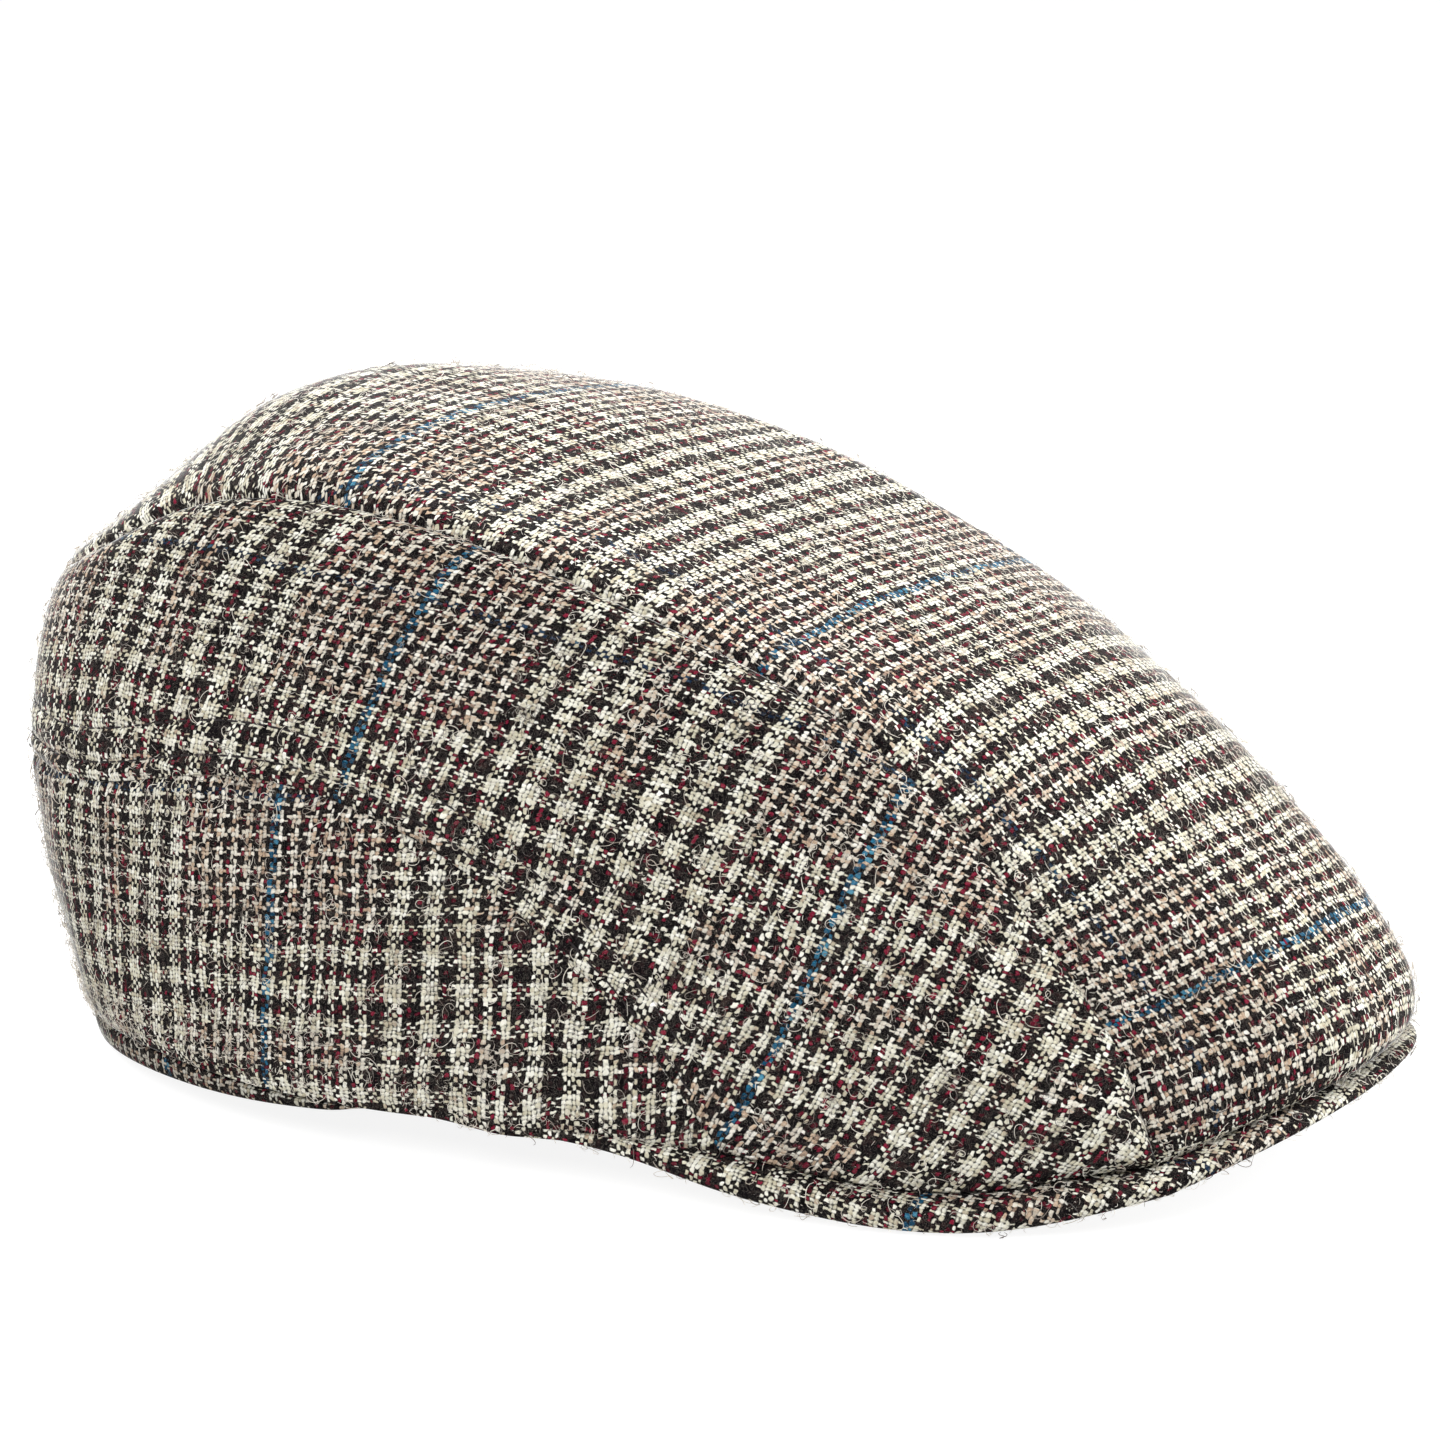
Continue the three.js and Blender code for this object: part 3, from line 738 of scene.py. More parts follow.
def peak_cloth(name, material):
    """The peak: a board between two cloths, lofted from its right tip round the front to its left."""
    line, out, share, full, sag = lip_line()
    tip = at(PEAK_TIP_STATION)
    angle = math.asin(-float(tip["lowY"]) / HEAD_FRONT)
    angle = angle + (math.pi - 2 * angle) * share
    rise = np.sin(math.pi * share) ** 2
    thick = PEAK_TIP_THICK + (PEAK_THICK - PEAK_TIP_THICK) * full
    depth = PEAK_TIP_THICK + (LIP_DEPTH - REST_GAP - PEAK_TIP_THICK) * full - sag
    root = np.stack([
        -HEAD_HALF_WIDTH * np.cos(angle),
        -HEAD_FRONT * np.sin(angle),
        float(tip["lowZ"]) - REST_GAP + ROOT_RISE * rise,
    ], -1)
    level = line[:, 2] - REST_GAP - sag
    shift = LIP_WIDTH * (LIP_SECTION[None, :, 0] * full[:, None] - 0.1 * (1 - full[:, None]))
    lip = line[:, None, :] + out[:, None, :] * shift[..., None]
    lip[..., 2] = np.maximum(level[:, None] - LIP_SECTION[None, :, 1] * depth[:, None], 0)
    inner = line - out * LANDING
    inner[:, 2] = level
    width = np.linalg.norm(inner - root, axis=1)
    to_inner = np.clip(0.8 / np.maximum(width, 1), 0, 0.5)[:, None]
    near_root = root + (inner - root) * to_inner
    half = (root + inner) / 2
    half[:, 2] += 0.4 * full
    up = np.array([0, 0, 1])
    inner_half = (thick + depth) / 2
    board = [
        inner - up * inner_half[:, None],
        half - up * thick[:, None],
        near_root - up * thick[:, None],
        root - up * (thick / 2)[:, None],
        near_root,
        half,
        inner,
    ]
    rings = rounded(np.concatenate([lip, np.stack(board, 1)], 1))
    # Cloth coordinates: the plan, carried on over the rolled edge by the length of the way round it
    carried = line[:, None, :2] + out[:, None, :2] * way_round(rings)[..., None]
    on_lip = np.arange(rings.shape[1])[None, :, None] < LIP_POINTS
    plan = np.where(on_lip, carried, rings[..., :2])
    uv = np.stack([PEAK_PLACE[0] - plan[..., 1], PEAK_PLACE[1] + plan[..., 0]], -1)
    return loft(name, rings, uv, material), rings


# Towards its ends the flap's upper edge comes down by this share, from this station over so much of one
FLAP_SLOPE = 0.35
FLAP_SLOPES = 4.2
FLAP_SLOPE_OVER = 0.6
# Place of the flap's folded edge in its cloth
FLAP_PLACE = 8.0


def flap_cloth(name, material):
    """The ear flap: cloth folded double, hanging inside the band, its folded edge below the hem."""
    s = np.linspace(-FLAP_END_STATION, FLAP_END_STATION, 230)
    a = np.abs(s)
    r = at(a)
    h = wall_height(a)
    shown = ease(r["fold"] / 2)
    hem = r["fold"]
    drop = r["fold"] - FLAP_TUCK * (1 - shown)
    bottom = hem - drop
    ledge = np.maximum(hem - REST_GAP, bottom + 0.2)
    bead = FLAP_BACK + (FLAP_INSET - FLAP_BACK) * ease(drop - REST_GAP - 0.4)
    rim = r["flapTop"] * (1 - FLAP_SLOPE * ease((a - FLAP_SLOPES) / FLAP_SLOPE_OVER)) - r["lowZ"]

    def point(offset, height, flat=False):
        v = height / h
        p = wall(-1, -s, v) - wall_normal(-1, -s, v) * (offset + 0 * s)[:, None]
        if flat:
            p[:, 2] = np.where(shown > 0.99, np.maximum(r["lowZ"] + height, 0), p[:, 2])
        return p

    inside = FLAP_BACK + FLAP_THICK
    climb = [ledge + 1.5 + (rim - ledge - 1.5) * k / 5 for k in range(6)]
    curl = np.minimum(0.9, (ledge - bottom) * 0.45)
    rings = np.stack([
        point(bead + 0.7, bottom, True),
        point(bead, bottom + curl, True),
        point(bead, ledge),
        point(FLAP_BACK, ledge),
        *[point(FLAP_BACK, climb[k]) for k in range(5)],
        point(FLAP_BACK, climb[5] - 0.6),
        point(FLAP_BACK + FLAP_THICK / 2, climb[5]),
        point(inside, climb[5] - 0.6),
        *[point(inside, climb[k]) for k in range(4, -1, -1)],
        point(inside, bottom + 0.9, True),
        point(inside - 0.8, bottom, True),
    ], 1)
    rings = rounded(rings)
    around = way_round(rings)
    run = np.interp(a, RUN_STATIONS, WALL_RUN) * np.sign(s)
    uv = np.stack([run[:, None] + 0 * around, around + FLAP_PLACE], -1)
    return loft(name, rings, uv, material)


# Materials
def linear(code):
    """Linear colour of an sRGB hex value."""
    c = np.array([int(code[i : i + 2], 16) / 255 for i in (1, 3, 5)])
    c = np.where(c <= 0.04045, c / 12.92, ((c + 0.055) / 1.055) ** 2.4)
    return (*c, 1.0)


def node(tree, kind, feeds=(), **settings):
    """Adds a node of a kind, sets its properties, and feeds its sockets from outputs or with values."""
    made = tree.nodes.new("ShaderNode" + kind)
    for key, value in settings.items():
        setattr(made, key, value)
    for socket, value in dict(feeds).items():
        if isinstance(value, bpy.types.NodeSocket):
            tree.links.new(value, made.inputs[socket])
        else:
            made.inputs[socket].default_value = value
    return made


def vector(tree, operation, *operands):
    """Result of a vector formula."""
    return node(tree, "VectorMath", dict(enumerate(operands)), operation=operation).outputs[0]


def noise(tree, place, scale, detail, output=0, **feeds):
    """Flat noise at a place: its value, or as output 1 its colour."""
    sockets = {"Vector": place, "Scale": scale, "Detail": detail, **feeds}
    return node(tree, "TexNoise", sockets, noise_dimensions="2D").outputs[output]


def reckon(tree, known, rows):
    """Works out a table of formulas in math nodes: each row is a name, an operation and its operands."""
    for name, operation, *operands in rows:
        feeds = {i: known.get(o, o) if isinstance(o, str) else o for i, o in enumerate(operands)}
        known[name] = node(tree, "Math", feeds, operation=operation).outputs[0]
    return known


def ramp(tree, factor, stops):
    """Colour ramp of (place, hex colour) stops."""
    made = node(tree, "ValToRGB", {0: factor})
    elements = made.color_ramp.elements
    while len(elements) < len(stops):
        elements.new(0.5)
    for element, (place, code) in zip(elements, stops):
        element.position = place
        element.color = linear(code)
    return made.outputs[0]


def mixed(tree, factor, first, second):
    """Mix of two colours."""
    made = node(tree, "Mix", {0: factor, 6: first, 7: second}, data_type="RGBA")
    return made.outputs[2]


# Yarn colours, each from one end of its shades to the other
CREAM = [
    (0.0, "#FFFEFA"), (0.3, "#F8F6EB"), (0.55, "#ECE9DA"), (0.75, "#D9D4BE"), (0.92, "#C4BCA2"),
    (1.0, "#B9A38F"),
]
CREAM_FINE = [
    (0.0, "#FCFAF5"), (0.3, "#F2EEE4"), (0.5, "#E5DFD1"), (0.68, "#D0C7B8"), (0.84, "#CBAF93"),
    (1.0, "#8C776A"),
]
DARK = [(0.0, "#040304"), (0.45, "#090709"), (0.8, "#120E12"), (1.0, "#2E2120")]
RED = [(0.0, "#2A0710"), (0.5, "#5A1124"), (1.0, "#8A2039")]
BLUE = [(0.0, "#07131E"), (0.4, "#0E344B"), (0.75, "#1D5F80"), (1.0, "#5A9AB2")]
NAVY = [(0.0, "#07090F"), (0.45, "#0D1829"), (0.8, "#182F48"), (1.0, "#3E667F")]

# Sizes in the weave, in millimetres: how far the yarns wander over how much cloth, and from crossing to
# crossing; the length of fibres, of patches of shade and of the fuzz's strands; and the relief's depth
WANDER = 2.2
WANDER_LENGTH = 16
JITTER = 0.95
JITTER_LENGTH = 1.7
FLEECE_LENGTH = 0.32
PATCH_LENGTH = 5.5
STRAND_LENGTH = 1.5
RELIEF_DEPTH = 0.3


def groups(way, index, blue, repeat):
    """Formulas for the yarns that go one way, counted by an index that is 0 at the second of a blue pair:
    the place in the repeat; pairs of four dark and four light yarns, but pairs of two in their midst and
    past their end; which yarns are dark, and which blue."""
    place, late, midst, fine = "place" + way, "late" + way, "midst" + way, "fine" + way
    group, half, rest = "group" + way, "half" + way, "rest" + way
    return [
        (place, "ADD", index, float(blue)),
        (place, "FLOORED_MODULO", place, float(repeat)),
        (late, "GREATER_THAN", place, FOURS_END),
        (midst, "COMPARE", place, MIDST, MIDST_HALF),
        (fine, "MAXIMUM", late, midst),
        (group, "MULTIPLY_ADD", fine, -4.0, 8.0),
        (half, "MULTIPLY", group, 0.5),
        (rest, "FLOORED_MODULO", place, group),
        ("dark" + way, "LESS_THAN", rest, half),
        ("blue" + way, "COMPARE", place, blue - 0.5, 0.6),
    ]


def tweed(name, shade=1.0):
    """Woollen tweed in plain weave: each crossing shows the yarn that lies on top, so that groups of four
    dark and four light yarns make star-shaped blocks, groups of two a fine speckle, and two blue yarns a
    thin line. It looks soft and matt, with a pale nap where it turns away."""
    material = bpy.data.materials.new(name)
    material.use_nodes = True
    tree = material.node_tree
    tree.nodes.clear()
    place = node(tree, "UVMap", uv_map="weave").outputs[0]
    # Yarns wander a little, over a few centimetres and from crossing to crossing
    wide = vector(tree, "SUBTRACT", noise(tree, place, 1 / WANDER_LENGTH, 1.0, 1), (0.5, 0.5, 0.5))
    tight = vector(tree, "SUBTRACT", noise(tree, place, 1 / JITTER_LENGTH, 2.0, 1), (0.5, 0.5, 0.5))
    moved = vector(tree, "MULTIPLY_ADD", wide, (WANDER, WANDER, 0), place)
    moved = vector(tree, "MULTIPLY_ADD", tight, (JITTER, JITTER, 0), moved)
    split = node(tree, "SeparateXYZ", {0: moved})
    known = {"u": split.outputs[0], "v": split.outputs[1]}
    reckon(tree, known, [
        ("x", "MULTIPLY", "u", 1 / CROSS_YARN),
        ("y", "MULTIPLY", "v", 1 / LENGTH_YARN),
        ("i", "FLOOR", "x"),
        ("j", "FLOOR", "y"),
    ])
    # Thick and thin places along each yarn
    pick = node(tree, "CombineXYZ", {0: known["i"], 1: known["y"]}).outputs[0]
    known["slubA"] = noise(tree, vector(tree, "MULTIPLY", pick, (7.31, 0.16, 0)), 1.0, 1.5)
    pick = node(tree, "CombineXYZ", {0: known["x"], 1: known["j"]}).outputs[0]
    known["slubB"] = noise(tree, vector(tree, "MULTIPLY", pick, (0.16, 9.17, 0)), 1.0, 1.5)
    reckon(tree, known, groups("A", "i", CROSS_BLUE, CROSS_REPEAT))
    reckon(tree, known, groups("B", "j", LENGTH_BLUE, LENGTH_REPEAT))
    reckon(tree, known, [
        # Yarns are round and go over and under each other; cross yarns and dark ones are fuller
        ("fx", "FRACT", "x"),
        ("fy", "FRACT", "y"),
        ("cx", "MULTIPLY_ADD", "fx", 2.0, -1.0),
        ("cy", "MULTIPLY_ADD", "fy", 2.0, -1.0),
        ("xx", "MULTIPLY", "cx", "cx"),
        ("yy", "MULTIPLY", "cy", "cy"),
        ("oddI", "FLOORED_MODULO", "i", 2.0),
        ("oddJ", "FLOORED_MODULO", "j", 2.0),
        ("signI", "MULTIPLY_ADD", "oddI", -2.0, 1.0),
        ("signJ", "MULTIPLY_ADD", "oddJ", -2.0, 1.0),
        ("turnX", "MULTIPLY", "x", math.pi),
        ("turnY", "MULTIPLY", "y", math.pi),
        ("sinX", "SINE", "turnX"),
        ("sinY", "SINE", "turnY"),
        ("overA", "MULTIPLY", "signI", "sinY"),
        ("overB", "MULTIPLY", "signJ", "sinX"),
        ("fullA", "MULTIPLY_ADD", "darkA", 0.45, -0.81),
        ("fullB", "MULTIPLY_ADD", "darkB", 0.42, -1.03),
        ("biasA", "MULTIPLY_ADD", "slubA", 1.5, "fullA"),
        ("biasB", "MULTIPLY_ADD", "slubB", 1.5, "fullB"),
        ("a0", "MULTIPLY_ADD", "overA", 0.55, "biasA"),
        ("b0", "MULTIPLY_ADD", "overB", -0.55, "biasB"),
        ("heightA", "SUBTRACT", "a0", "xx"),
        ("heightB", "SUBTRACT", "b0", "yy"),
        ("aOnTop", "GREATER_THAN", "heightA", "heightB"),
        ("height", "SMOOTH_MAX", "heightA", "heightB", 0.1),
        # What shows at this crossing
        ("bOnTop", "SUBTRACT", 1.0, "aOnTop"),
        ("d1", "MULTIPLY", "darkA", "aOnTop"),
        ("dark", "MULTIPLY_ADD", "darkB", "bOnTop", "d1"),
        ("e1", "MULTIPLY", "blueA", "aOnTop"),
        ("blue", "MULTIPLY_ADD", "blueB", "bOnTop", "e1"),
        ("n1", "MULTIPLY", "i", "aOnTop"),
        ("yarn", "MULTIPLY_ADD", "j", "bOnTop", "n1"),
        ("yarn", "MULTIPLY_ADD", "aOnTop", 377.0, "yarn"),
        ("fine", "MULTIPLY", "fineA", "fineB"),
        ("redA", "COMPARE", "restA", 1.0, 0.5),
        ("redB", "COMPARE", "restB", 2.0, 0.5),
        ("r1", "MULTIPLY", "redA", "aOnTop"),
        ("reddish", "MULTIPLY_ADD", "redB", "bOnTop", "r1"),
    ])
    crossing = node(tree, "CombineXYZ", {0: known["i"], 1: known["j"]}).outputs[0]
    chance = node(tree, "TexWhiteNoise", {"Vector": crossing}, noise_dimensions="2D")
    parts = node(tree, "SeparateColor", {0: chance.outputs[1]})
    known.update(c0=chance.outputs[0], c1=parts.outputs[0], c2=parts.outputs[1], c3=parts.outputs[2])
    known["own"] = node(tree, "TexWhiteNoise", {"W": known["yarn"]}, noise_dimensions="1D").outputs[0]
    # Fibres lie along each yarn
    for strand, lay in (("strandA", (5.5, 0.8, 0)), ("strandB", (0.8, 5.5, 0))):
        known[strand] = noise(tree, vector(tree, "MULTIPLY", moved, lay), 1.0, 2.0, Roughness=0.6)
    known["fleece"] = noise(tree, place, 1 / FLEECE_LENGTH, 3.0, Roughness=0.7)
    known["patch"] = noise(tree, place, 1 / PATCH_LENGTH, 2.0)
    reckon(tree, known, [
        ("t1", "MULTIPLY_ADD", "own", 0.2, -0.33),
        ("t2", "MULTIPLY_ADD", "c1", 0.52, "t1"),
        ("t3", "MULTIPLY_ADD", "fleece", 0.6, "t2"),
        ("tone", "MULTIPLY_ADD", "patch", 0.6, "t3"),
        ("redChance", "MULTIPLY_ADD", "reddish", 0.36, 0.08),
        ("isRed", "LESS_THAN", "c0", "redChance"),
        ("isRed", "MULTIPLY", "isRed", "dark"),
        ("blueShows", "GREATER_THAN", "c3", 0.15),
        ("blue", "MULTIPLY", "blue", "blueShows"),
        ("w1", "MULTIPLY_ADD", "fleece", 1.0, -0.5),
        ("q1", "MULTIPLY", "strandA", "aOnTop"),
        ("strand", "MULTIPLY_ADD", "strandB", "bOnTop", "q1"),
        ("q2", "MULTIPLY_ADD", "strand", 2.0, -1.0),
        ("q3", "ADD", "height", 0.05),
        ("q4", "MULTIPLY_ADD", "w1", 3.0, "q3"),
        ("redBody", "MULTIPLY", "q4", 2.5),
        ("redBody", "MINIMUM", "redBody", 1.0),
        ("redBody", "MAXIMUM", "redBody", 0.0),
        ("isRed", "MULTIPLY", "isRed", "redBody"),
    ])
    cream = ramp(tree, known["tone"], CREAM)
    creamy = ramp(tree, known["tone"], CREAM_FINE)
    light = mixed(tree, known["fine"], cream, creamy)
    dark = ramp(tree, known["tone"], DARK)
    red = ramp(tree, known["c2"], RED)
    navy, bright = ramp(tree, known["tone"], NAVY), ramp(tree, known["tone"], BLUE)
    blue = mixed(tree, known["aOnTop"], navy, bright)
    colour = mixed(tree, known["dark"], light, dark)
    colour = mixed(tree, known["isRed"], colour, red)
    colour = mixed(tree, known["blue"], colour, blue)
    # Painted shade: the colour is darkened deep between the yarns and towards each yarn's edges, by each
    # spot's height in the weave, and streaked by fibre noise; loose pale fibre lies over everything
    reckon(tree, known, [
        ("g1", "MULTIPLY_ADD", "height", 1.5, 1.1),
        ("g2", "MULTIPLY_ADD", "q2", 0.8, "g1"),
        ("gap", "MULTIPLY_ADD", "w1", 0.5, "g2"),
        ("gap", "MINIMUM", "gap", 1.0),
        ("gap", "MAXIMUM", "gap", 0.1),
        # A shade below one darkens the whole cloth further: painted shade
        ("gap", "MULTIPLY", "gap", shade),
    ])
    painted_shade_and_fibre = node(tree, "CombineColor", {i: known["gap"] for i in range(3)}).outputs[0]
    feeds = {0: 1.0, 6: colour, 7: painted_shade_and_fibre}
    colour = node(tree, "Mix", feeds, data_type="RGBA", blend_type="MULTIPLY").outputs[2]
    known["s"] = noise(tree, place, 1 / STRAND_LENGTH, 4.0, Roughness=0.6, Distortion=2.2)
    reckon(tree, known, [
        ("s1", "SUBTRACT", "s", 0.5),
        ("s2", "ABSOLUTE", "s1"),
        ("s3", "MULTIPLY_ADD", "s2", -38.0, 0.75),
        ("s4", "MAXIMUM", "s3", 0.0),
        ("veil", "MULTIPLY_ADD", "s4", 0.45, 0.003),
    ])
    colour = mixed(tree, known["veil"], colour, linear("#C4BBAE"))
    reckon(tree, known, [
        ("bump", "MULTIPLY_ADD", "fleece", 0.8, "height"),
        ("bump", "MULTIPLY_ADD", "q2", 0.6, "bump"),
        ("bump", "MULTIPLY_ADD", "s4", 0.35, "bump"),
    ])
    feeds = {"Strength": 1.0, "Distance": RELIEF_DEPTH / 1000, "Height": known["bump"]}
    bump = node(tree, "Bump", feeds).outputs[0]
    # The wool's nap shines pale where the cloth is seen edge-on
    known["facing"] = node(tree, "LayerWeight", {"Blend": 0.5}).outputs["Facing"]
    reckon(tree, known, [
        ("edge", "POWER", "facing", 13.0),
        ("nap", "MULTIPLY", "edge", 2.4),
    ])
    shader = node(tree, "BsdfPrincipled", {
        "Base Color": colour, "Roughness": 0.95, "IOR": 1.45, "Specular IOR Level": 0.05,
        "Sheen Weight": known["nap"], "Sheen Roughness": 0.4, "Normal": bump,
    })
    node(tree, "OutputMaterial", {0: shader.outputs[0]})
    return material


def plain_fibre(name, stops, sheen=0.2):
    """Fibre or thread: its colour runs over stops by the first UV number, which is each strand's own."""
    material = bpy.data.materials.new(name)
    material.use_nodes = True
    tree = material.node_tree
    tree.nodes.clear()
    place = node(tree, "UVMap", uv_map="weave").outputs[0]
    split = node(tree, "SeparateXYZ", {0: place})
    colour = ramp(tree, split.outputs[0], stops)
    shader = node(tree, "BsdfPrincipled", {
        "Base Color": colour, "Roughness": 0.6, "IOR": 1.5, "Specular IOR Level": 0.3,
        "Sheen Weight": sheen, "Sheen Roughness": 0.4,
    })
    node(tree, "OutputMaterial", {0: shader.outputs[0]})
    return material


# Loose fibres and stitches; the fibres keep this far above the floor
FLOOR_GAP = 0.1


def scattered(outer, count, rng):
    """Random places on a grid of points, spread evenly over its area: points, two tangents and the
    normal."""
    a = outer[:-1, :-1]
    b = outer[1:, :-1]
    c = outer[:-1, 1:]
    d = outer[1:, 1:]
    area = np.linalg.norm(np.cross(b - a, c - a), axis=-1)
    weight = (area / area.sum()).ravel()
    pick = rng.choice(weight.size, count, p=weight)
    i, j = np.unravel_index(pick, area.shape)
    x, y = rng.random((2, count, 1))
    near_row = a[i, j] * (1 - x) + b[i, j] * x
    far_row = c[i, j] * (1 - x) + d[i, j] * x
    p = near_row * (1 - y) + far_row * y
    one = unit(b[i, j] - a[i, j])
    normal = turned_out(unit(np.cross(one, c[i, j] - a[i, j])), p)
    return p, one, np.cross(normal, one), normal


def roots(grids, counts, rng):
    """Random places on several grids, so many on each."""
    spots = [scattered(grid, count, rng) for grid, count in zip(grids, counts)]
    return [np.concatenate(part) for part in zip(*spots)]


def off_cloth(spots, x, y, lift):
    """Paths from their roots: x and y along the cloth's two tangents and lift off it, kept above the
    floor."""
    p, one, two, normal = (part[:, None] for part in spots)
    paths = p + one * x[..., None] + two * y[..., None] + normal * lift[..., None]
    paths[..., 2] = np.maximum(paths[..., 2], FLOOR_GAP)
    return paths


def strands(name, paths, radius, shade, material, sides=3):
    """Thin closed tubes along paths (strand, point, xyz), each with its own radius and shade, as one
    mesh. They taper towards both ends with the square root of a sine."""
    count, n = paths.shape[:2]
    ahead = unit(np.gradient(paths, axis=1))
    helper = np.where(np.abs(ahead[..., 2:]) < 0.8, [0.0, 0.0, 1.0], [1.0, 0.0, 0.0])
    one = unit(np.cross(ahead, helper))
    two = np.cross(ahead, one)
    turn = np.arange(sides) * 2 * math.pi / sides
    taper = np.sin(math.pi * np.linspace(0.12, 0.88, n)) ** 0.5
    thin = radius[:, None, None, None] * taper[None, :, None, None]
    ring = one[:, :, None] * np.cos(turn)[:, None] + two[:, :, None] * np.sin(turn)[:, None]
    points = (paths[:, :, None] + ring * thin).reshape(-1, 3)
    grid = np.arange(count * n * sides).reshape(count, n, sides)
    looped = np.concatenate([grid, grid[..., :1]], 2)
    below, above = looped[:, :-1], looped[:, 1:]
    walls = np.stack([below[..., :-1], below[..., 1:], above[..., 1:], above[..., :-1]], -1)
    faces = walls.reshape(-1, 4).tolist() + grid[:, 0, ::-1].tolist() + grid[:, -1].tolist()
    uv = np.repeat(np.stack([shade, shade * 0], -1), n * sides, axis=0)
    return piece(name, points, faces, uv, material)


def curls(name, grids, counts, rng, material):
    """Long loose fibres: each walks over the cloth with a turning rate that drifts, so that it loops, and
    rises a little from its root to its middle."""
    spots = roots(grids, counts, rng)
    count, n = sum(counts), 11
    length = rng.uniform(3.5, 8.5, count)
    loop = rng.uniform(0.5, 1.7, count) * rng.choice([-1, 1], count)
    k = np.linspace(0, 1, n)
    drift = rng.uniform(-0.6, 0.6, (count, 1)) * k
    drift = drift + 0.5 * np.sin(2 * math.pi * k + rng.uniform(0, 6, (count, 1)))
    turn = rng.uniform(0, 2 * math.pi, (count, 1)) + (length / loop)[:, None] * (k + 0.25 * drift)
    step = length[:, None] / (n - 1)
    x = np.cumsum(np.cos(turn) * step, 1)
    y = np.cumsum(np.sin(turn) * step, 1)
    x -= x.mean(1, keepdims=True)
    y -= y.mean(1, keepdims=True)
    lift = 0.1 + rng.uniform(0.25, 1.3, (count, 1)) * np.sin(math.pi * k) ** 1.2
    radius = rng.uniform(0.05, 0.08, count)
    return strands(name, off_cloth(spots, x, y, lift), radius, rng.random(count), material)


def fuzz(name, grids, counts, rng, material):
    """Short fibres that stand off the cloth: each leans its own way, turns a little and bends over."""
    spots = roots(grids, counts, rng)
    count, n = sum(counts), 4
    turn = rng.uniform(0, 2 * math.pi, (count, 1))
    lean = rng.uniform(0.3, 1.6, (count, 1))
    length = rng.uniform(0.5, 1.5, (count, 1))
    k = np.linspace(0, 1, n)
    bend = turn + rng.uniform(-1.5, 1.5, (count, 1)) * k
    x = np.cos(bend) * lean * k * length
    y = np.sin(bend) * lean * k * length
    lift = (k - 0.35 * k * k) * length - 0.1
    radius = rng.uniform(0.035, 0.06, count)
    shade = rng.uniform(0.3, 1.0, count)
    return strands(name, off_cloth(spots, x, y, lift), radius, shade, material)


# Stitches, in millimetres: from one to the next, half of one's length, its thickness, and how high its
# ends and its middle lie
STITCH_STEP = 3.3
STITCH_HALF = 1.25
STITCH_RADIUS = 0.22
STITCH_LOW = 0.06
STITCH_ARCH = 0.14


def stitch_row(name, side, line, first, relief, material):
    """Row of dark stitches in a groove above the seam between side panel and band: each arches over the
    cloth on a parabola."""
    end = float(np.interp(BAND_TIP - 0.1, RUN_STATIONS, WALL_RUN))
    middle = np.arange(first, end, STITCH_STEP)
    k = np.linspace(-STITCH_HALF, STITCH_HALF, 5)
    run = middle[:, None] + k
    s = np.interp(run, WALL_RUN, RUN_STATIONS)
    h = wall_height(s)
    v = at(s)["split"] + line / h
    arch = STITCH_LOW + STITCH_ARCH * (1 - (k / STITCH_HALF) ** 2)
    height = relief(s, (1 - v) * h, line + 0 * s, side_weave(s, v)) + arch
    paths = settled(wall(side, s, v) + wall_normal(side, s, v) * height[..., None], s, v, h)
    radius = np.full(len(middle), STITCH_RADIUS)
    return strands(name, paths, radius, np.full(len(middle), 0.4), material, sides=5)


# The cap
rng = np.random.default_rng(57)
cloth = tweed("woollen_tweed")
peak_tweed = tweed("woollen_tweed_peak")
# The flap's folded edge, low inside the hem, gets painted shade: its tweed is made with shade 0.6, which
# darkens it all in place of the hem's shadow
shaded_flap_tweed = tweed("woollen_tweed_flap_painted_shade", 0.6)
fibre = plain_fibre("loose_wool", [
    (0.0, "#2A2220"), (0.12, "#6A5F57"), (0.3, "#A3988B"), (0.6, "#CCC3B5"), (1.0, "#E6E0D4"),
])
thread = plain_fibre("dark_thread", [(0.0, "#120E10"), (1.0, "#2A2122")], 0.0)

RIGHT, LEFT = -1, 1
SIDE_SEEDS = {"right": 5, "left": 6}
top_piece, top_grid = top_cloth("tweed_top", cloth, 3)
right_piece, right_grid = side_cloth("tweed_side_right", RIGHT, cloth, SIDE_SEEDS["right"])
left_piece, left_grid = side_cloth("tweed_side_left", LEFT, cloth, SIDE_SEEDS["left"])
band_right_piece, band_right_grid = band_cloth("tweed_band_right", RIGHT, cloth, 7)
band_left_piece, band_left_grid = band_cloth("tweed_band_left", LEFT, cloth, 8)
peak_piece, peak_grid = peak_cloth("tweed_peak", peak_tweed)
flap_piece = flap_cloth("tweed_ear_flap", shaded_flap_tweed)
stitches = [
    stitch_row(f"stitches_{way}_{row}", side, line, 2.0 + row, side_relief(SIDE_SEEDS[way]), thread)
    for way, side in (("right", RIGHT), ("left", LEFT))
    for row, line in enumerate(STITCH_LINES)
]

# Where fibres grow, and how many on each: the top, then the sides, bands and lip, then the bands' hems
upper = [top_grid]
lower = [right_grid, left_grid, band_right_grid, band_left_grid, peak_grid[:, : LIP_POINTS + 2]]
hems = [band_right_grid[:, 3:12], band_left_grid[:, 3:12]]
loose = [
    curls("curls_top", upper, [1300], rng, fibre),
    curls("curls_sides", lower, [820, 620, 900, 560, 220], rng, fibre),
    fuzz("fuzz_top", upper, [6000], rng, fibre),
    fuzz("fuzz_sides", lower, [2300, 2300, 1200, 1200, 800], rng, fibre),
    fuzz("fuzz_hem", hems, [1100, 1100], rng, fibre),
]

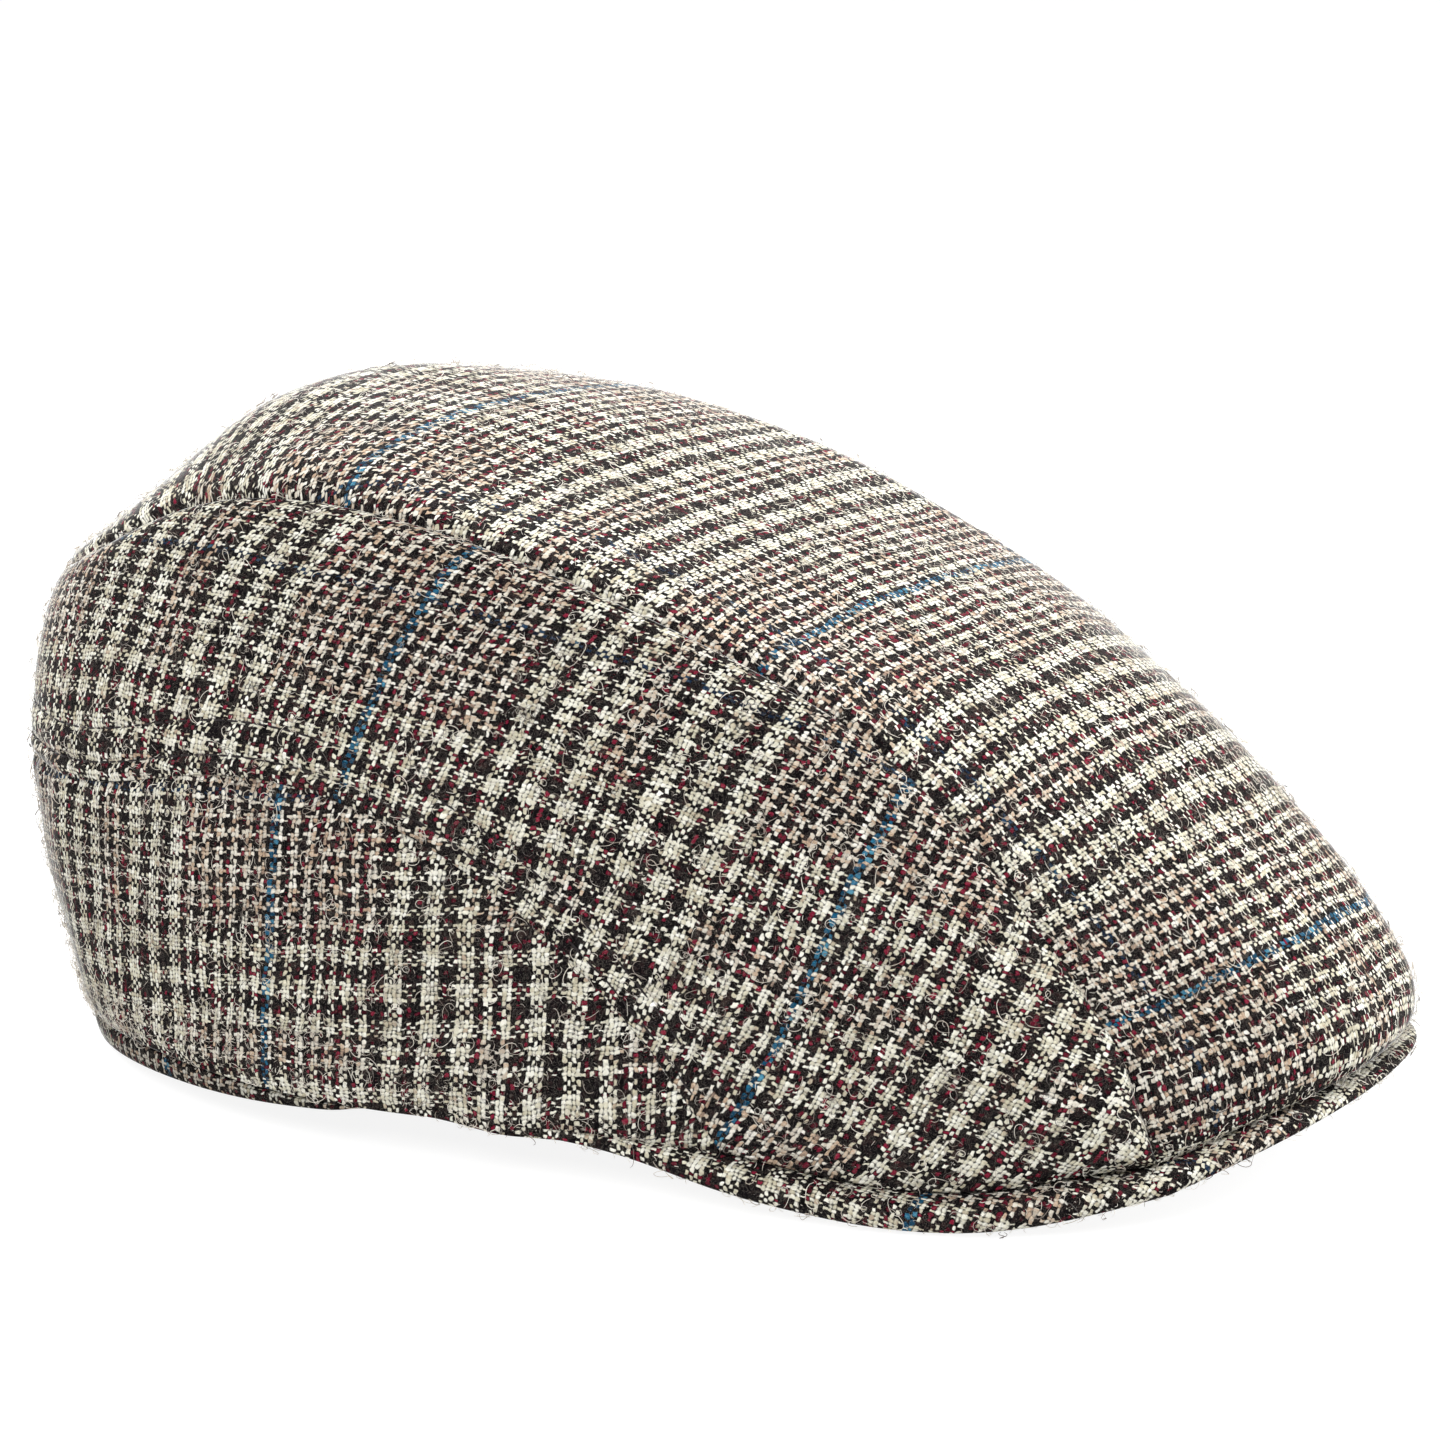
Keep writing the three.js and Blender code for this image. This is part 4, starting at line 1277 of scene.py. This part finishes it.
REPLACED = {
    top_piece: ("crown_top", "tweed"),
    right_piece: ("side_right", "tweed"),
    left_piece: ("side_left", "tweed"),
    band_right_piece: ("band_right", "tweed"),
    band_left_piece: ("band_left", "tweed"),
    peak_piece: ("peak", "tweed_peak"),
    flap_piece: ("ear_flap", "flap_cloth"),
}
for made, (cad, slot) in REPLACED.items():
    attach(made, "root")
    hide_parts(cad)
for made in [*stitches, *loose]:
    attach(made, "root")


def cloth_area(grid):
    """Area of a grid of points in square metres."""
    corner = grid[:-1, :-1]
    cells = np.linalg.norm(np.cross(grid[1:, :-1] - corner, grid[:-1, 1:] - corner), axis=-1)
    return float(cells.sum()) / 1e6


# Flat sizes of the panels, in metres
TOP_CUT = (0.150, 0.345)
SIDE_CUT = (0.115, 0.300)
BAND_CUT = (0.072, 0.225)
CUTS = [
    # piece, its grid, flat size, what it rests on, what goes with it
    (top_piece, top_grid, TOP_CUT, ["tweed_side_right", "tweed_side_left"], [loose[0], loose[2]]),
    (right_piece, right_grid, SIDE_CUT, ["tweed_band_right", "tweed_peak"], stitches[:2]),
    (left_piece, left_grid, SIDE_CUT, ["tweed_band_left", "tweed_peak"], stitches[2:]),
    (band_right_piece, band_right_grid, BAND_CUT, ["tweed_ear_flap"], []),
    (band_left_piece, band_left_grid, BAND_CUT, ["tweed_ear_flap"], []),
]
for made, grid, flat, under, things in CUTS:
    area = cloth_area(grid)
    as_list(under)
    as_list(things)


# Floor, light and camera
def plain(name, code, glow):
    """Plain matt surface for the stage, with some light of its own."""
    material = bpy.data.materials.new(name)
    material.use_nodes = True
    shader = material.node_tree.nodes["Principled BSDF"]
    shader.inputs["Base Color"].default_value = linear(code)
    shader.inputs["Roughness"].default_value = 0.9
    shader.inputs["Emission Color"].default_value = (1, 1, 1, 1)
    shader.inputs["Emission Strength"].default_value = glow
    return material


bpy.ops.mesh.primitive_plane_add(size=8, location=(0, 0, -0.0003))
floor = bpy.context.object
floor.name = "floor"
floor.data.materials.append(plain("white_table", "#6E6E6E", 0.88))

LIGHTS = [
    # name, width, height, power in watts, from, towards
    ("over", 1.2, 1.2, 16, (0.3, 0.2, 1.3), (0, 0.0, 0.05)),
    ("camera_side", 0.6, 0.6, 20, (-1.2, -0.1, 1.0), (0, 0, 0.05)),
    ("behind_back", 1.0, 0.8, 32, (0.9, 1.0, 0.6), (0, 0, 0.08)),
    ("behind_front", 1.0, 0.8, 34, (0.9, -0.9, 0.6), (0, 0, 0.08)),
]
for name, width, height, power, source, target in LIGHTS:
    data = bpy.data.lights.new(name, "AREA")
    data.shape = "RECTANGLE"
    data.size, data.size_y, data.energy = width, height, power
    lamp = bpy.data.objects.new(name, data)
    lamp.location = source
    lamp.rotation_mode = "QUATERNION"
    lamp.rotation_quaternion = (Vector(target) - Vector(source)).to_track_quat("-Z", "Y")
    bpy.context.scene.collection.objects.link(lamp)

world = bpy.data.worlds.new("studio")
world.use_nodes = True
sky = world.node_tree.nodes["Background"]
sky.inputs["Color"].default_value = (1, 1, 1, 1)
# Seen straight on the backdrop is white; as light it is dimmer
seen = node(world.node_tree, "LightPath").outputs["Is Camera Ray"]
glow = reckon(world.node_tree, {"seen": seen}, [("glow", "MULTIPLY_ADD", "seen", 0.45, 0.57)])["glow"]
world.node_tree.links.new(glow, sky.inputs["Strength"])
bpy.context.scene.world = world
bpy.context.scene.view_settings.view_transform = "Standard"

# The camera's angles, its distance and place in millimetres, and pixels to the millimetre there
AZIMUTH, ELEVATION = math.radians(-64.06), math.radians(13.23)
DISTANCE, SCALE, PICTURE = 797.81, 5.23, 1440
RIGHTWARD, UPWARD = 6.47, 14.98
LOOKS_AT = (0, -20 + CENTRE_Y, 50)
level = math.cos(ELEVATION)
back = Vector((math.sin(AZIMUTH) * level, -math.cos(AZIMUTH) * level, math.sin(ELEVATION)))
across = Vector((math.cos(AZIMUTH), math.sin(AZIMUTH), 0))
upward = back.cross(across)
camera_data = bpy.data.cameras.new("camera")
camera_data.sensor_width = 36
camera_data.lens = camera_data.sensor_width * SCALE * DISTANCE / PICTURE
camera_data.clip_start, camera_data.clip_end = 0.01, 50
camera = bpy.data.objects.new("camera", camera_data)
spot = Vector(LOOKS_AT) + across * RIGHTWARD + upward * UPWARD + back * DISTANCE
turned = Matrix((across, upward, back)).transposed().to_4x4()
camera.matrix_world = Matrix.Translation(spot / 1000) @ turned
bpy.context.scene.collection.objects.link(camera)
bpy.context.scene.camera = camera
